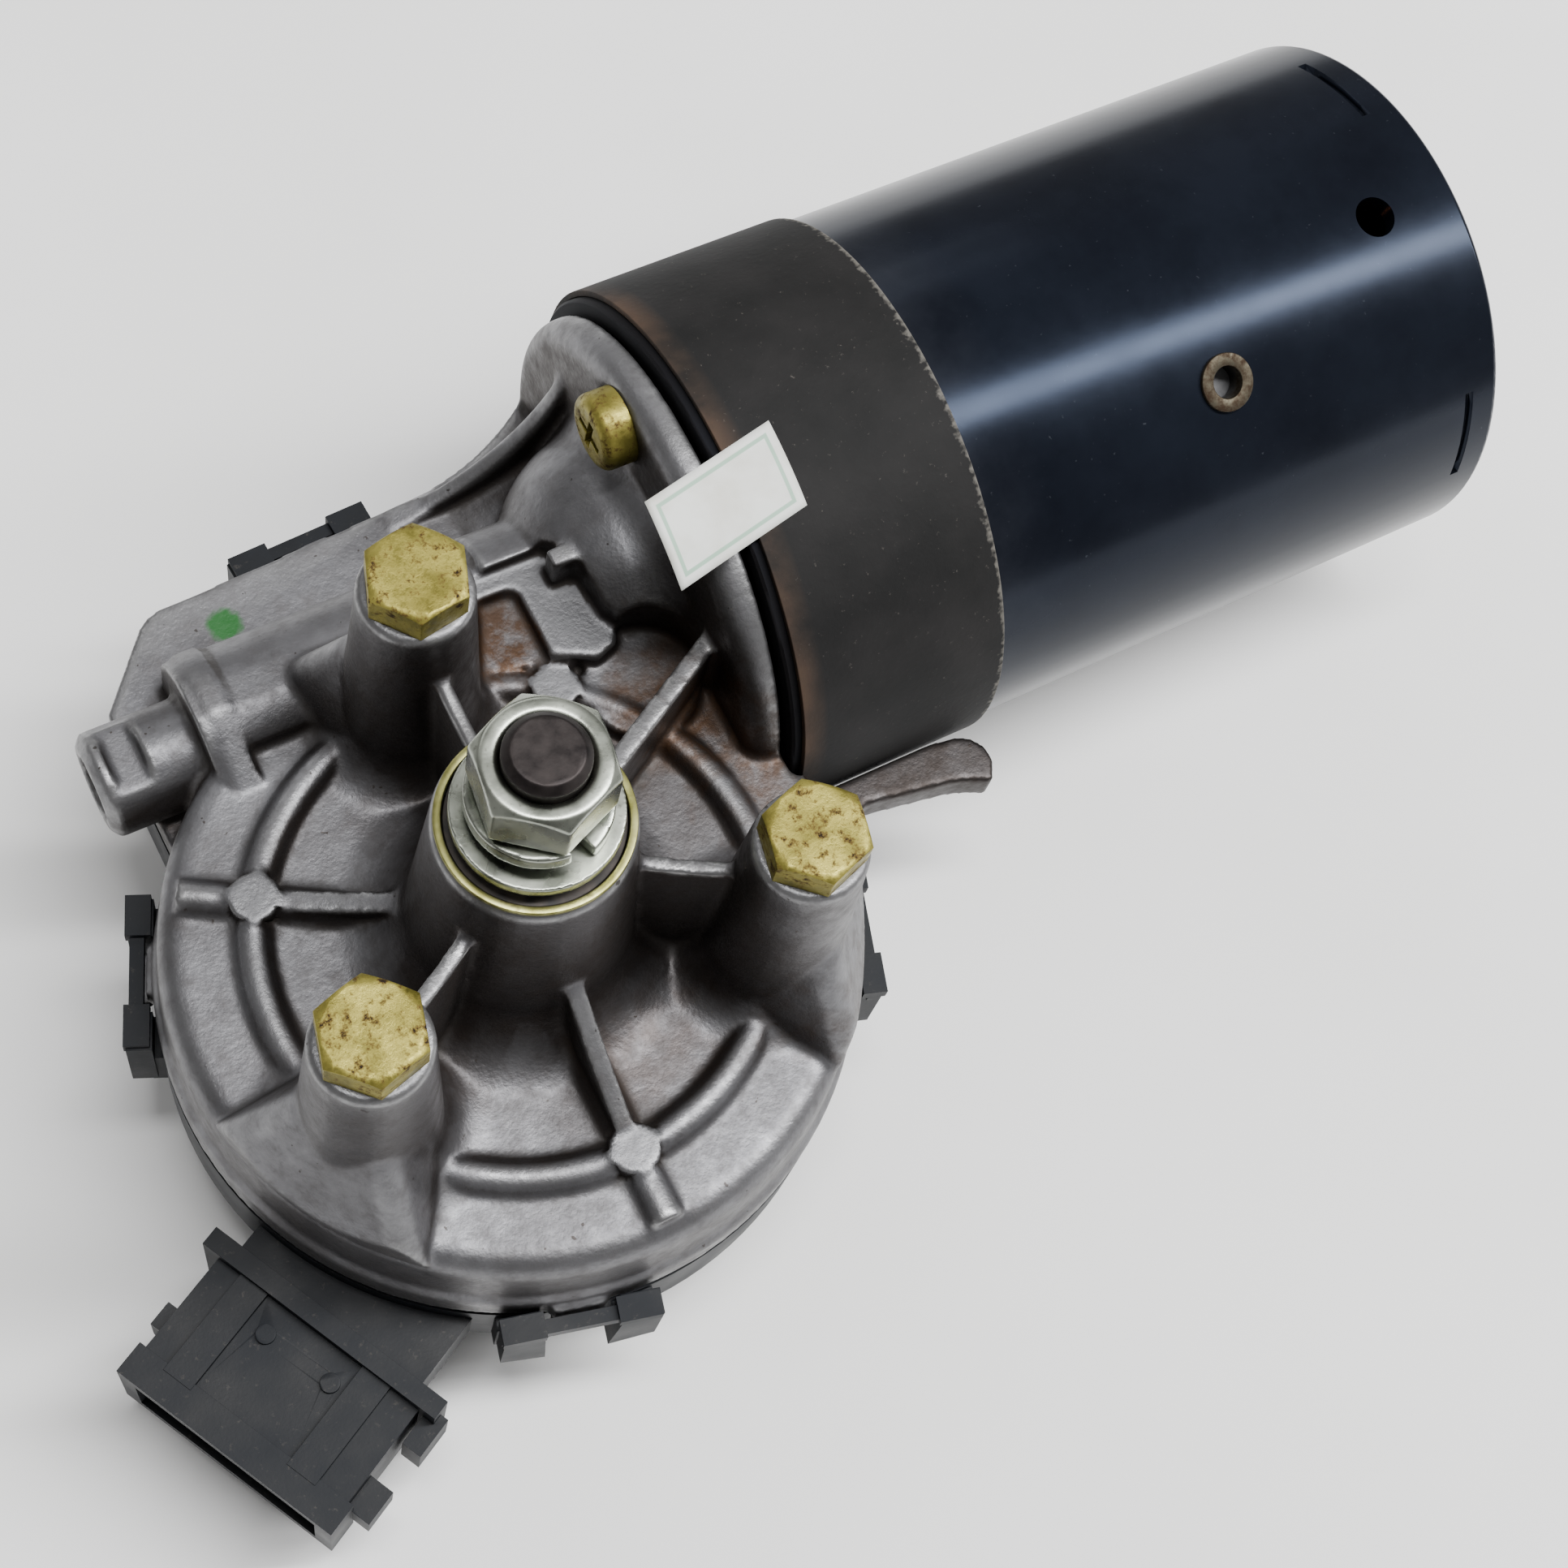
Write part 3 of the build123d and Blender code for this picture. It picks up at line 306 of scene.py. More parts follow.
def old_zinc():
    """The small bush in the shell has lost most of its plating and is browned with rust."""
    material, tree, shader, place = new_finish("rusted_zinc_plate", 0.8, 0.5)
    flakes = grain(tree, place, 1.2, 5, Roughness=0.7)
    colour = blend(tree, stretch(tree, flakes, 0.4, 0.6), "#4c473b", "#34291d")
    colour = blend(tree, stretch(tree, flakes, 0.6, 0.7), colour, "#33241a")
    # Painted shade: the bore is filled with a dark, non-metallic disc.
    painted_bore_shade = patch_at(tree, place, BORE_SHADE_MIDDLE, BORE_SHADE_RADIUS, 0.3, flakes)
    colour = blend(tree, painted_bore_shade, colour, "#0d0a08")
    feed(tree, shader, Metallic=stretch(tree, painted_bore_shade, 0, 1, 0.8, 0))
    feed(tree, shader, Base_Color=colour, Roughness=stretch(tree, flakes, 0.3, 0.7, 0.36, 0.7))
    feed(tree, shader, Normal=relief(tree, flakes, 0.04, 0.6))
    return material


def yellow_chromate():
    material, tree, shader, place = new_finish("yellow_chromate_steel", 0.75, 0.42)
    clouds = grain(tree, place, 3.2, 5)
    colour = blend(tree, stretch(tree, clouds, 0.35, 0.62), "#70682c", "#9a9046")
    pits = grain(tree, place, 1.5, 6, Roughness=0.74)
    colour = blend(tree, stretch(tree, pits, 0.52, 0.6, 0, 0.9), colour, "#5e4a22")
    colour = blend(tree, stretch(tree, pits, 0.6, 0.66), colour, "#241b13")
    feed(tree, shader, Base_Color=colour, Roughness=stretch(tree, pits, 0.4, 0.65, 0.32, 0.75))
    feed(tree, shader, Normal=relief(tree, pits, 0.1, 0.7))
    return material


def pale_chromate():
    """The thin ring on the boss has the same plating, paler and cleaner."""
    material, tree, shader, place = new_finish("pale_chromate_steel", 0.9, 0.34)
    clouds = grain(tree, place, 2.5, 5)
    colour = blend(tree, stretch(tree, clouds, 0.35, 0.62), "#77753f", "#a5a36c")
    colour = blend(tree, stretch(tree, clouds, 0.62, 0.72), colour, "#4a4026")
    feed(tree, shader, Base_Color=colour, Normal=relief(tree, clouds, 0.03, 0.5))
    return material


# %% [markdown]
# ## Enamel, band and plastics
# The motor's shell is deep-drawn steel under gloss black enamel with a blue cast, and
# handling marks make it duller in places. It is grimy beside the band and matt under
# it. The band is a matt coating that holds pale dust and is frayed at its edge. The
# cover and its socket are moulded nylon with a satin, finely eroded skin.

# %% Dark finishes
# How far the grime reaches out beside the band, in millimetres.
GRIME_REACH = 9
# How far inside the band's end the shell turns matt, in millimetres.
MATT_INSET = 4


def gloss_enamel():
    material, tree, shader, place = new_finish(
        "gloss_black_enamel", 0.0, 0.16, IOR=1.5, Specular_IOR_Level=0.17, Specular_Tint=linear("#b4c8ee")
    )
    smears = grain(tree, place, 16, 5, Roughness=0.6)
    dust = grain(tree, place, 0.6, 2)
    colour = blend(tree, stretch(tree, smears, *NOISE_SPAN), "#0d0f15", "#13161d")
    colour = blend(tree, stretch(tree, dust, 0.72, 0.8, 0, 0.3), colour, "#4d5157")
    along = add(tree, "SeparateXYZ", {"Vector": place}).outputs["X"]
    seam = round(BAND_END)
    near_band = stretch(tree, along, (seam + GRIME_REACH) * MM, seam * MM)
    grime = sums(tree, "MULTIPLY", near_band, stretch(tree, smears, 0.4, 0.7, 0.1, 0.5))
    colour = blend(tree, grime, colour, "#2b2c30")
    peel = grain(tree, place, 1.6, 2)
    matt_from = seam - MATT_INSET
    under_band = stretch(tree, along, matt_from * MM, (matt_from - 1) * MM)
    colour = blend(tree, sums(tree, "MULTIPLY", under_band, 0.9), colour, "#14110e")
    gloss = stretch(tree, smears, 0.3, 0.7, 0.17, 0.23)
    rough = sums(tree, "ADD", gloss, sums(tree, "MULTIPLY", under_band, 0.5))
    feed(tree, shader, Base_Color=colour, Roughness=rough, Normal=relief(tree, peel, 0.01, 0.5))
    return material


def matt_band():
    material, tree, shader, place = new_finish("matt_black_band", 0.0, 0.72, IOR=1.5, Specular_IOR_Level=0.2)
    clouds = grain(tree, place, 9, 5)
    cloth = grain(tree, place, 0.8, 3)
    colour = blend(tree, stretch(tree, clouds, *NOISE_SPAN), "#141414", "#1e1d1d")
    specks = grain(tree, place, 0.8, 4, Roughness=0.8)
    colour = blend(tree, stretch(tree, specks, 0.64, 0.72, 0, 0.4), colour, "#6a655f")
    along = add(tree, "SeparateXYZ", {"Vector": place}).outputs["X"]
    fray = sums(tree, "ADD", along, stretch(tree, cloth, 0.3, 0.7, -0.5 * MM, 0.5 * MM))
    edge = stretch(tree, fray, (BAND_END - 0.6) * MM, BAND_END * MM)
    colour = blend(tree, sums(tree, "MULTIPLY", edge, 0.4), colour, "#8f8b83")
    front = stretch(tree, along, (BAND_START + 3) * MM, BAND_START * MM, 0, 0.5)
    colour = blend(tree, sums(tree, "MULTIPLY", front, stretch(tree, clouds, 0.35, 0.6)), colour, "#5b4636")
    feed(tree, shader, Base_Color=colour, Normal=relief(tree, cloth, 0.06, 0.7))
    return material


def moulded_nylon():
    material, tree, shader, place = new_finish(
        "moulded_black_nylon", 0.0, 0.42, IOR=1.53, Specular_IOR_Level=0.2
    )
    clouds = grain(tree, place, 8, 4)
    spark = grain(tree, place, 0.35, 2)
    dust = grain(tree, place, 1.1, 5, Roughness=0.75)
    colour = blend(tree, stretch(tree, clouds, *NOISE_SPAN), "#0b0d11", "#14171c")
    colour = blend(tree, stretch(tree, dust, 0.6, 0.72, 0, 0.4), colour, "#57524b")
    feed(tree, shader, Base_Color=colour, Roughness=stretch(tree, clouds, 0.3, 0.7, 0.44, 0.6))
    feed(tree, shader, Normal=relief(tree, spark, 0.02, 0.6))
    return material


def nitrile_rubber():
    material, tree, shader, place = new_finish("nitrile_rubber", 0.0, 0.7, IOR=1.52)
    bloom = grain(tree, place, 2, 4)
    colour = blend(tree, stretch(tree, bloom, *NOISE_SPAN), "#1e1c1b", "#453d37")
    feed(tree, shader, Base_Color=colour, Normal=relief(tree, grain(tree, place, 0.3, 2), 0.01, 0.5))
    return material


# %% [markdown]
# ## The metals inside
# Steel that was turned on a lathe shows rings round its axis, which a wave texture
# gives along X or Z. Pressed sheet is plainer, with rolling haze. The armature's core
# is a stack of half-millimetre sheets, so its outside is finely striped across X.

# %% Steel, bronze, copper, brass
# A wave texture draws one band in about a twentieth of its unit.
WAVE_UNIT = 20


def turned_steel(name, direction):
    material, tree, shader, place = new_finish(name, 1.0, 0.32)
    rings = add(tree, "TexWave", {
        "Vector": place, "Scale": per_mm(0.6) / WAVE_UNIT, "Distortion": 1.5, "Detail": 2,
    }, bands_direction=direction).outputs["Fac"]
    oil = grain(tree, place, 4, 4)
    colour = blend(tree, stretch(tree, oil, 0.35, 0.7), "#a3a39f", "#77726b")
    feed(tree, shader, Base_Color=colour, Roughness=stretch(tree, oil, 0.3, 0.7, 0.26, 0.42))
    feed(tree, shader, Normal=relief(tree, rings, 0.01, 0.5))
    return material


def dark_steel():
    """The shaft's end has gone dark brown under old oil."""
    material, tree, shader, place = new_finish("oiled_dark_steel", 0.8, 0.42)
    oil = grain(tree, place, 2.5, 5)
    fine = grain(tree, place, 0.4, 3)
    colour = blend(tree, stretch(tree, oil, *NOISE_SPAN), "#1f1b1b", "#332e2d")
    feed(tree, shader, Base_Color=colour, Roughness=stretch(tree, oil, 0.3, 0.7, 0.35, 0.55))
    feed(tree, shader, Normal=relief(tree, fine, 0.015, 0.6))
    return material


def pressed_steel():
    material, tree, shader, place = new_finish("pressed_sheet_steel", 1.0, 0.38)
    haze = grain(tree, place, 6, 5)
    colour = blend(tree, stretch(tree, haze, *NOISE_SPAN), "#8d8f8f", "#a9aaa8")
    feed(tree, shader, Base_Color=colour, Roughness=stretch(tree, haze, 0.3, 0.7, 0.3, 0.48))
    feed(tree, shader, Normal=relief(tree, grain(tree, place, 0.5, 2), 0.01, 0.5))
    return material


def stacked_sheets():
    material, tree, shader, place = new_finish("stacked_core_sheets", 0.9, 0.45)
    wave = add(tree, "TexWave", {"Vector": place, "Scale": per_mm(0.5) / WAVE_UNIT}, bands_direction="X")
    sheets = wave.outputs["Fac"]
    haze = grain(tree, place, 5, 4)
    colour = blend(tree, stretch(tree, sheets, 0.2, 0.8), "#3c3a39", "#6b6967")
    colour = blend(tree, stretch(tree, haze, 0.55, 0.75, 0, 0.4), colour, "#4a3a2e")
    feed(tree, shader, Base_Color=colour, Normal=relief(tree, sheets, 0.05, 0.8))
    return material


def enamelled_copper():
    material, tree, shader, place = new_finish("enamelled_copper_wire", 0.85, 0.3)
    wires = add(tree, "TexWave", {
        "Vector": place, "Scale": per_mm(0.9) / WAVE_UNIT, "Distortion": 3, "Detail": 2,
    }, bands_direction="DIAGONAL").outputs["Fac"]
    colour = blend(tree, stretch(tree, wires, 0.1, 0.9), "#5a2a16", "#b06a3c")
    feed(tree, shader, Base_Color=colour, Normal=relief(tree, wires, 0.2, 0.9))
    return material


def bare_copper():
    material, tree, shader, place = new_finish("worn_copper", 1.0, 0.34)
    rub = grain(tree, place, 2.5, 4)
    colour = blend(tree, stretch(tree, rub, *NOISE_SPAN), "#7c4a30", "#b87850")
    feed(tree, shader, Base_Color=colour, Normal=relief(tree, grain(tree, place, 0.4, 2), 0.015, 0.6))
    return material


def rolled_brass():
    material, tree, shader, place = new_finish("rolled_brass", 1.0, 0.32)
    haze = grain(tree, place, 3, 4)
    colour = blend(tree, stretch(tree, haze, *NOISE_SPAN), "#9c8242", "#c4a861")
    feed(tree, shader, Base_Color=colour, Normal=relief(tree, grain(tree, place, 0.5, 2), 0.01, 0.5))
    return material


def sintered_bronze():
    material, tree, shader, place = new_finish("sintered_bronze", 0.85, 0.55)
    pores = grain(tree, place, 0.4, 4, Roughness=0.8)
    colour = blend(tree, stretch(tree, pores, 0.4, 0.65), "#5f4526", "#94713f")
    feed(tree, shader, Base_Color=colour, Normal=relief(tree, pores, 0.05, 0.8))
    return material


# %% [markdown]
# ## Ferrite, carbon, resin board and gear plastic
# Magnets are pressed and fired ferrite, a dull charcoal with a ground face. Brushes
# are carbon with copper dust. The boards are paper pressed in brown resin. The worm
# wheel is acetal, a milky plastic that light enters a little, filmed with grease.

# %% Fired, pressed and moulded
def fired_ferrite():
    material, tree, shader, place = new_finish("fired_ferrite", 0.1, 0.6, IOR=2.3)
    grit = grain(tree, place, 0.7, 5, Roughness=0.7)
    colour = blend(tree, stretch(tree, grit, *NOISE_SPAN), "#232326", "#3a3a3d")
    feed(tree, shader, Base_Color=colour, Normal=relief(tree, grit, 0.04, 0.7))
    return material


def pressed_carbon():
    material, tree, shader, place = new_finish("pressed_carbon", 0.2, 0.5, IOR=1.9)
    dust = grain(tree, place, 0.4, 4, Roughness=0.8)
    colour = blend(tree, stretch(tree, dust, 0.55, 0.7), "#202021", "#5c4538")
    feed(tree, shader, Base_Color=colour, Normal=relief(tree, dust, 0.03, 0.6))
    return material


def resin_board():
    material, tree, shader, place = new_finish("paper_resin_board", 0.0, 0.45, IOR=1.55)
    fibre = grain(tree, place, 1.2, 6, Distortion=0.6)
    colour = blend(tree, stretch(tree, fibre, 0.3, 0.7), "#5a3317", "#8a5a2c")
    feed(tree, shader, Base_Color=colour, Normal=relief(tree, fibre, 0.02, 0.6))
    return material


def greased_acetal():
    material, tree, shader, place = new_finish(
        "greased_acetal", 0.0, 0.35, IOR=1.48, Subsurface_Weight=0.15, Subsurface_Scale=0.002
    )
    film = grain(tree, place, 4, 5)
    colour = blend(tree, stretch(tree, film, 0.5, 0.7), "#e2ddcb", "#a9946a")
    feed(tree, shader, Base_Color=colour, Roughness=stretch(tree, film, 0.4, 0.7, 0.4, 0.16))
    feed(tree, shader, Normal=relief(tree, film, 0.05, 0.5))
    return material


# %% [markdown]
# ## The label's paper
# The label is coated white paper with a thin green line printed near its edge, and it
# has yellowed a little. The line follows the sheet, so it reads the sheet's own UV
# map: the distance to the nearest edge is compared with two limits.

# %% Label paper
# Length and width of the flat sheet, and how far the green line stands from its edge.
LABEL_SIZE = (16.8, 10.1)
LINE_START = 0.95
LINE_END = 1.4
LINE_BLUR = 0.05


def label_paper():
    material, tree, shader, place = new_finish("coated_label_paper", 0.0, 0.5, IOR=1.5)
    sheet = add(tree, "UVMap", uv_map="sheet").outputs["UV"]
    parts = add(tree, "SeparateXYZ", {"Vector": sheet})
    gaps = []
    for axis, size in zip("XY", LABEL_SIZE):
        middle = sums(tree, "ABSOLUTE", sums(tree, "SUBTRACT", parts.outputs[axis], 0.5), 0)
        gaps.append(stretch(tree, middle, 0.5, 0, 0, size / 2))
    nearest = sums(tree, "MINIMUM", gaps[0], gaps[1])
    past_start = stretch(tree, nearest, LINE_START - LINE_BLUR, LINE_START + LINE_BLUR)
    before_end = stretch(tree, nearest, LINE_END + LINE_BLUR, LINE_END - LINE_BLUR)
    line = sums(tree, "MULTIPLY", past_start, before_end)
    fibres = grain(tree, place, 1.0, 5)
    stain = grain(tree, place, 5, 4)
    colour = blend(tree, stretch(tree, stain, 0.4, 0.7), "#e0e2dd", "#cccbc0")
    colour = blend(tree, sums(tree, "MULTIPLY", line, 0.8), colour, "#7fae92")
    feed(tree, shader, Base_Color=colour, Normal=relief(tree, fibres, 0.02, 0.5))
    return material


# %% [markdown]
# ## Giving each piece its finish
# A piece of the frame whose shape is right stays, and only its material slot changes.
# The dictionary goes from finish to pieces, as a parts list does.

# %% Hand out the finishes
finishes = {
    "cast": cast_aluminium(),
    "zinc": zinc_plate(),
    "old_zinc": old_zinc(),
    "chromate": yellow_chromate(),
    "pale_chromate": pale_chromate(),
    "enamel": gloss_enamel(),
    "band": matt_band(),
    "nylon": moulded_nylon(),
    "rubber": nitrile_rubber(),
    "steel_x": turned_steel("steel_turned_along_x", "X"),
    "steel_z": turned_steel("steel_turned_along_z", "Z"),
    "dark_steel": dark_steel(),
    "sheet_steel": pressed_steel(),
    "core": stacked_sheets(),
    "wire": enamelled_copper(),
    "copper": bare_copper(),
    "brass": rolled_brass(),
    "bronze": sintered_bronze(),
    "ferrite": fired_ferrite(),
    "carbon": pressed_carbon(),
    "board": resin_board(),
    "acetal": greased_acetal(),
    "paper": label_paper(),
}
parts_list = {
    "cast": ["gear_housing"],
    "zinc": ["shaft_nut", "output_washer", "lock_washer", "connector_pins"],
    "old_zinc": ["can_bush"],
    "chromate": ["mounting_bolts", "flange_screws"],
    "pale_chromate": ["seal_ring"],
    "enamel": ["motor_can", "end_plate"],
    "band": ["can_sleeve"],
    "nylon": ["rear_cover"],
    "rubber": ["shaft_seal", "cover_gasket"],
    "steel_x": ["armature_shaft", "bearing_inner_ring", "bearing_outer_ring", "bearing_balls"],
    "steel_z": ["wheel_hub"],
    "dark_steel": ["output_shaft"],
    "sheet_steel": [
        "thrust_washer", "shaft_clip", "bearing_cage", "bearing_retainer", "magnet_clips",
        "spring_common", "spring_low_speed", "spring_high_speed",
    ],
    "core": ["lamination_core"],
    "wire": ["armature_windings"],
    "copper": ["commutator_bars"],
    "brass": ["contact_disc", "brush_holders", "contact_fingers"],
    "bronze": ["upper_bush", "lower_bush", "thrust_plug", "worm_bush", "rear_bush"],
    "ferrite": ["field_magnets"],
    "carbon": ["brush_common", "brush_low_speed", "brush_high_speed"],
    "board": ["brush_board", "contact_board", "commutator_core"],
    "acetal": ["worm_wheel", "thrust_pad"],
    "paper": ["paper_label"],
}


def put_on(piece, finish):
    piece.data.materials.clear()
    piece.data.materials.append(finishes[finish])


finish_of = {}
for finish, names in parts_list.items():
    for name in names:
        put_on(frame["nodes"][name], finish)
        finish_of[name] = finish
print("without a finish:", sorted(set(frame["nodes"]) - set(finish_of)))

# %% [markdown]
# ## Soft edges
# A solid model has knife edges, and real ones never do: the light on a small rounded
# edge is what makes a part look solid. A frame piece may not be edited, so a copy is
# welded, its flat faces are made whole again, a narrow bevel goes on its sharp edges,
# and the copy stands in for the piece.

# %% Soften one piece
# Points closer than this are one point, in millimetres.
WELD = 0.002
# Faces that meet at less than FLAT are one face, edges above CREASE get a bevel, and
# edges above SHADE_CREASE stay crisp in the shading. All three are in degrees.
FLAT = 0.6
CREASE = 32
SHADE_CREASE = 38
BEVEL_STEPS = 2

body_of_node = {
    node: body for body, members in frame["record"]["behaviour"]["bodies"].items() for node in members
}


def stand_in(mesh, name, nodes, finish):
    """Put a finished mesh in the place of frame pieces, on the same body and slot."""
    piece = bpy.data.objects.new(name, mesh)
    bpy.context.scene.collection.objects.link(piece)
    put_on(piece, finish)
    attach(piece, body_of_node[nodes[0]])
    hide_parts(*nodes)
    return piece


def apply_modifiers(piece):
    """Bake a piece's modifiers into its mesh."""
    graph = bpy.context.evaluated_depsgraph_get()
    mesh = bpy.data.meshes.new_from_object(piece.evaluated_get(graph))
    piece.modifiers.clear()
    piece.data = mesh


def welded_copy(node):
    """Copy of a frame piece's mesh, and a working mesh in which its loose triangles are joined."""
    mesh = frame["nodes"][node].data.copy()
    work = bmesh.new()
    work.from_mesh(mesh)
    bmesh.ops.remove_doubles(work, verts=work.verts, dist=WELD * MM)
    return mesh, work


def soften(node, width):
    """Copy of a frame piece with rounded edges, width in millimetres."""
    mesh, work = welded_copy(node)
    bmesh.ops.dissolve_limit(work, angle_limit=radians(FLAT), verts=work.verts, edges=work.edges)
    if width:
        edges = [
            e for e in work.edges
            if len(e.link_faces) == 2 and e.calc_face_angle(0) > radians(CREASE)
        ]
        bmesh.ops.bevel(
            work, geom=edges, offset=width * MM, offset_type="OFFSET", segments=BEVEL_STEPS, profile=0.5,
            affect="EDGES", clamp_overlap=True, material=-1,
        )
    bmesh.ops.triangulate(work, faces=[f for f in work.faces if len(f.verts) > 4])
    work.to_mesh(mesh)
    work.free()
    mesh.shade_smooth()
    mesh.set_sharp_from_angle(angle=radians(SHADE_CREASE))
    piece = stand_in(mesh, node + "_soft", [node], finish_of[node])
    even = piece.modifiers.new("flat faces stay flat", "WEIGHTED_NORMAL")
    even.keep_sharp = True
    apply_modifiers(piece)
    print(piece.name, "faces", len(piece.data.polygons))
    return piece


# A face of the round wall looks straight out, to this cosine, and its points lie on the
# radius, to this many millimetres.
WALL_FACING = 0.97
WALL_PLAY = 0.03


def true_round(mesh, radius):
    """Give the wall that is a cylinder round the motor its exact normals, radius in millimetres."""
    custom = []
    for face in mesh.polygons:
        spoke = face.center - MOTOR_AXIS
        spoke.x = 0
        on_wall = abs(face.normal.dot(spoke.normalized())) > WALL_FACING
        for vertex in face.vertices:
            spoke = mesh.vertices[vertex].co - MOTOR_AXIS
            spoke.x = 0
            fits = on_wall and abs(spoke.length - radius * MM) < WALL_PLAY * MM
            custom.append(spoke.normalized() if fits else Vector((0, 0, 0)))
    mesh.normals_split_custom_set(custom)


edge_widths = {
    "mounting_bolts": 0.22, "seal_ring": 0.12, "output_shaft": 0.15, "can_bush": 0.1, "motor_can": 0,
    "can_sleeve": 0.12, "flange_screws": 0.15, "rear_cover": 0.18, "shaft_seal": 0.1,
    "connector_pins": 0.1, "thrust_plug": 0.12,
}
round_walls = {"motor_can": SHELL_RADIUS, "can_sleeve": BAND_RADIUS}
for node, width in edge_widths.items():
    piece = soften(node, width)
    if node in round_walls:
        true_round(piece.data, round_walls[node])

# %% [markdown]
# ## Brush springs
# Two of the brushes have a coil spring behind them that is pressed together as the
# brush slides out. The record names these springs, and each one is stood in by a plain
# copy on its own body, whose length is printed.

# %% Copies of the brush springs
for joint in frame["record"]["behaviour"]["joints"]:
    for entry in joint.get("deforming_nodes", []):
        node = entry["node"]
        low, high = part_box(node)
        spring = stand_in(frame["nodes"][node].data.copy(), node + "_coil", [node], finish_of[node])
        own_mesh(spring)
        print(spring.name, "length in mm:", round((high[2] - low[2]) / MM, 2))

# %% [markdown]
# ## Skins for the nut, the washers and the casting
# Molten metal cannot fill a knife edge, so every corner of a casting is rounded, inside
# and out. A copy of a piece is rebuilt as an even skin of small cells, and the skin is
# relaxed a little, which rounds inner and outer corners alike. Then its triangles are
# thinned out. The nut and washers are made so too, in finer cells, because their
# chamfers are curved and a bevel would be ragged on them.

# %% Rebuild a piece as a relaxed skin
def skin_of(node, cell, relax, share):
    """Even skin of a piece, built from cells of one size in mm, relaxed and then thinned out."""
    mesh, work = welded_copy(node)
    work.to_mesh(mesh)
    work.free()
    piece = bpy.data.objects.new(node + "_skin", mesh)
    bpy.context.scene.collection.objects.link(piece)
    remesh = piece.modifiers.new("cells", "REMESH")
    remesh.mode = "VOXEL"
    remesh.voxel_size = cell * MM
    smooth = piece.modifiers.new("relax", "SMOOTH")
    smooth.factor = 0.5
    smooth.iterations = relax
    thin = piece.modifiers.new("thin", "DECIMATE")
    thin.ratio = share
    apply_modifiers(piece)
    mesh = piece.data
    mesh.shade_smooth()
    bpy.data.objects.remove(piece)
    return mesh


# Size of the cells in millimetres and the share of triangles that is kept.
FINE_CELL = 0.17
FINE_SHARE = 0.55
CASTING_CELL = 0.45
CASTING_SHARE = 0.43
for node, relax in (("shaft_nut", 14), ("output_washer", 4), ("lock_washer", 12)):
    stand_in(skin_of(node, FINE_CELL, relax, FINE_SHARE), node + "_soft", [node], "zinc")
casting = skin_of("gear_housing", CASTING_CELL, 2, CASTING_SHARE)
print("casting triangles:", len(casting.polygons))

# %% [markdown]
# ## Round pads
# The face has three small round pads on its ring rib. Thinning out leaves their walls
# with flat facets, so each point of a wall is moved back to the circle.

# %% Pads on the ring rib
# All in millimetres: the ring's radius, and the pads' radius, top and height.
RING_RADIUS = 28.2
PAD_ANGLES = (150, 270, 55.5)
PAD_RADIUS = 2.95
PAD_TOP = -29.1
PAD_HEIGHT = 1.9
# A point this near to the circle, whose normal has less than this much height in it,
# is on a pad's wall. The corner above the wall is rounded by PAD_ROUNDING.
WALL_BAND = 0.35
STEEP = 0.75
PAD_ROUNDING = 0.4
pad_places = [(RING_RADIUS * cos(radians(angle)), RING_RADIUS * sin(radians(angle))) for angle in PAD_ANGLES]


def true_pads(mesh):
    """Move the points on the walls of the three pads to a true circle."""
    for vertex in mesh.vertices:
        x, y, z = vertex.co / MM
        if not PAD_TOP - PAD_HEIGHT < z < PAD_TOP + 0.2:
            continue
        for pad_x, pad_y in pad_places:
            off = Vector((x - pad_x, y - pad_y))
            if abs(off.length - PAD_RADIUS) >= WALL_BAND:
                continue
            tilt = abs(vertex.normal.z)
            if tilt < STEEP:
                off *= (PAD_RADIUS - PAD_ROUNDING * tilt) / off.length
                vertex.co = Vector((pad_x + off.x, pad_y + off.y, z)) * MM


true_pads(casting)
print("pads at:", [(round(x, 1), round(y, 1)) for x, y in pad_places])

# %% [markdown]
# ## What the casting's finish reads
# Three numbers are stored at each point of the casting. "hollow" says how far the point
# sinks below its smoothed surroundings. "painted_shade" is painted shade: the share of the
# sky over it that the casting itself covers, found with rays spread evenly over a ball,
# with more added on side walls, which the light from above reaches less, and under the
# motor, which lies in its shadow. "machined" is one where a cutter has passed: on the
# post tops, the pads and the small plateau.

# %% Hollow, painted shade and machined
# A point that sinks this many millimetres is as hollow as can be.
DEEP = 1.2
# Rounds of smoothing for the surroundings.
HOLLOW_ROUNDS = 24
# Each ray turns by the golden angle from the one before, in radians.
GOLDEN_ANGLE = 2.39996
RAY_COUNT = 48
# Rays start this far off the surface and see this far, in millimetres.
RAY_LIFT = 0.2
RAY_REACH = 30
# Rays that graze the surface more flatly than this are left out.
GRAZING = 0.15


def hollowness(mesh):
    """How far each point sinks below its surroundings: about 0.5 on flat ground, more in a hollow."""
    count = len(mesh.vertices)
    points = np.empty(count * 3)
    mesh.vertices.foreach_get("co", points)
    points = points.reshape(-1, 3)
    normals = np.empty(count * 3, dtype=np.float32)
    mesh.vertex_normals.foreach_get("vector", normals)
    edges = np.empty(len(mesh.edges) * 2, dtype=np.int64)
    mesh.edges.foreach_get("vertices", edges)
    ends = edges.reshape(-1, 2)
    degree = np.maximum(np.bincount(edges, minlength=count), 1)[:, None]
    soft = points.copy()
    for _ in range(HOLLOW_ROUNDS):
        total = np.zeros_like(soft)
        np.add.at(total, ends[:, 0], soft[ends[:, 1]])
        np.add.at(total, ends[:, 1], soft[ends[:, 0]])
        soft = total / degree
    sink = ((soft - points) * normals.reshape(-1, 3)).sum(1)
    return np.clip(0.5 + sink / (2 * DEEP * MM), 0, 1), points, normals.reshape(-1, 3)


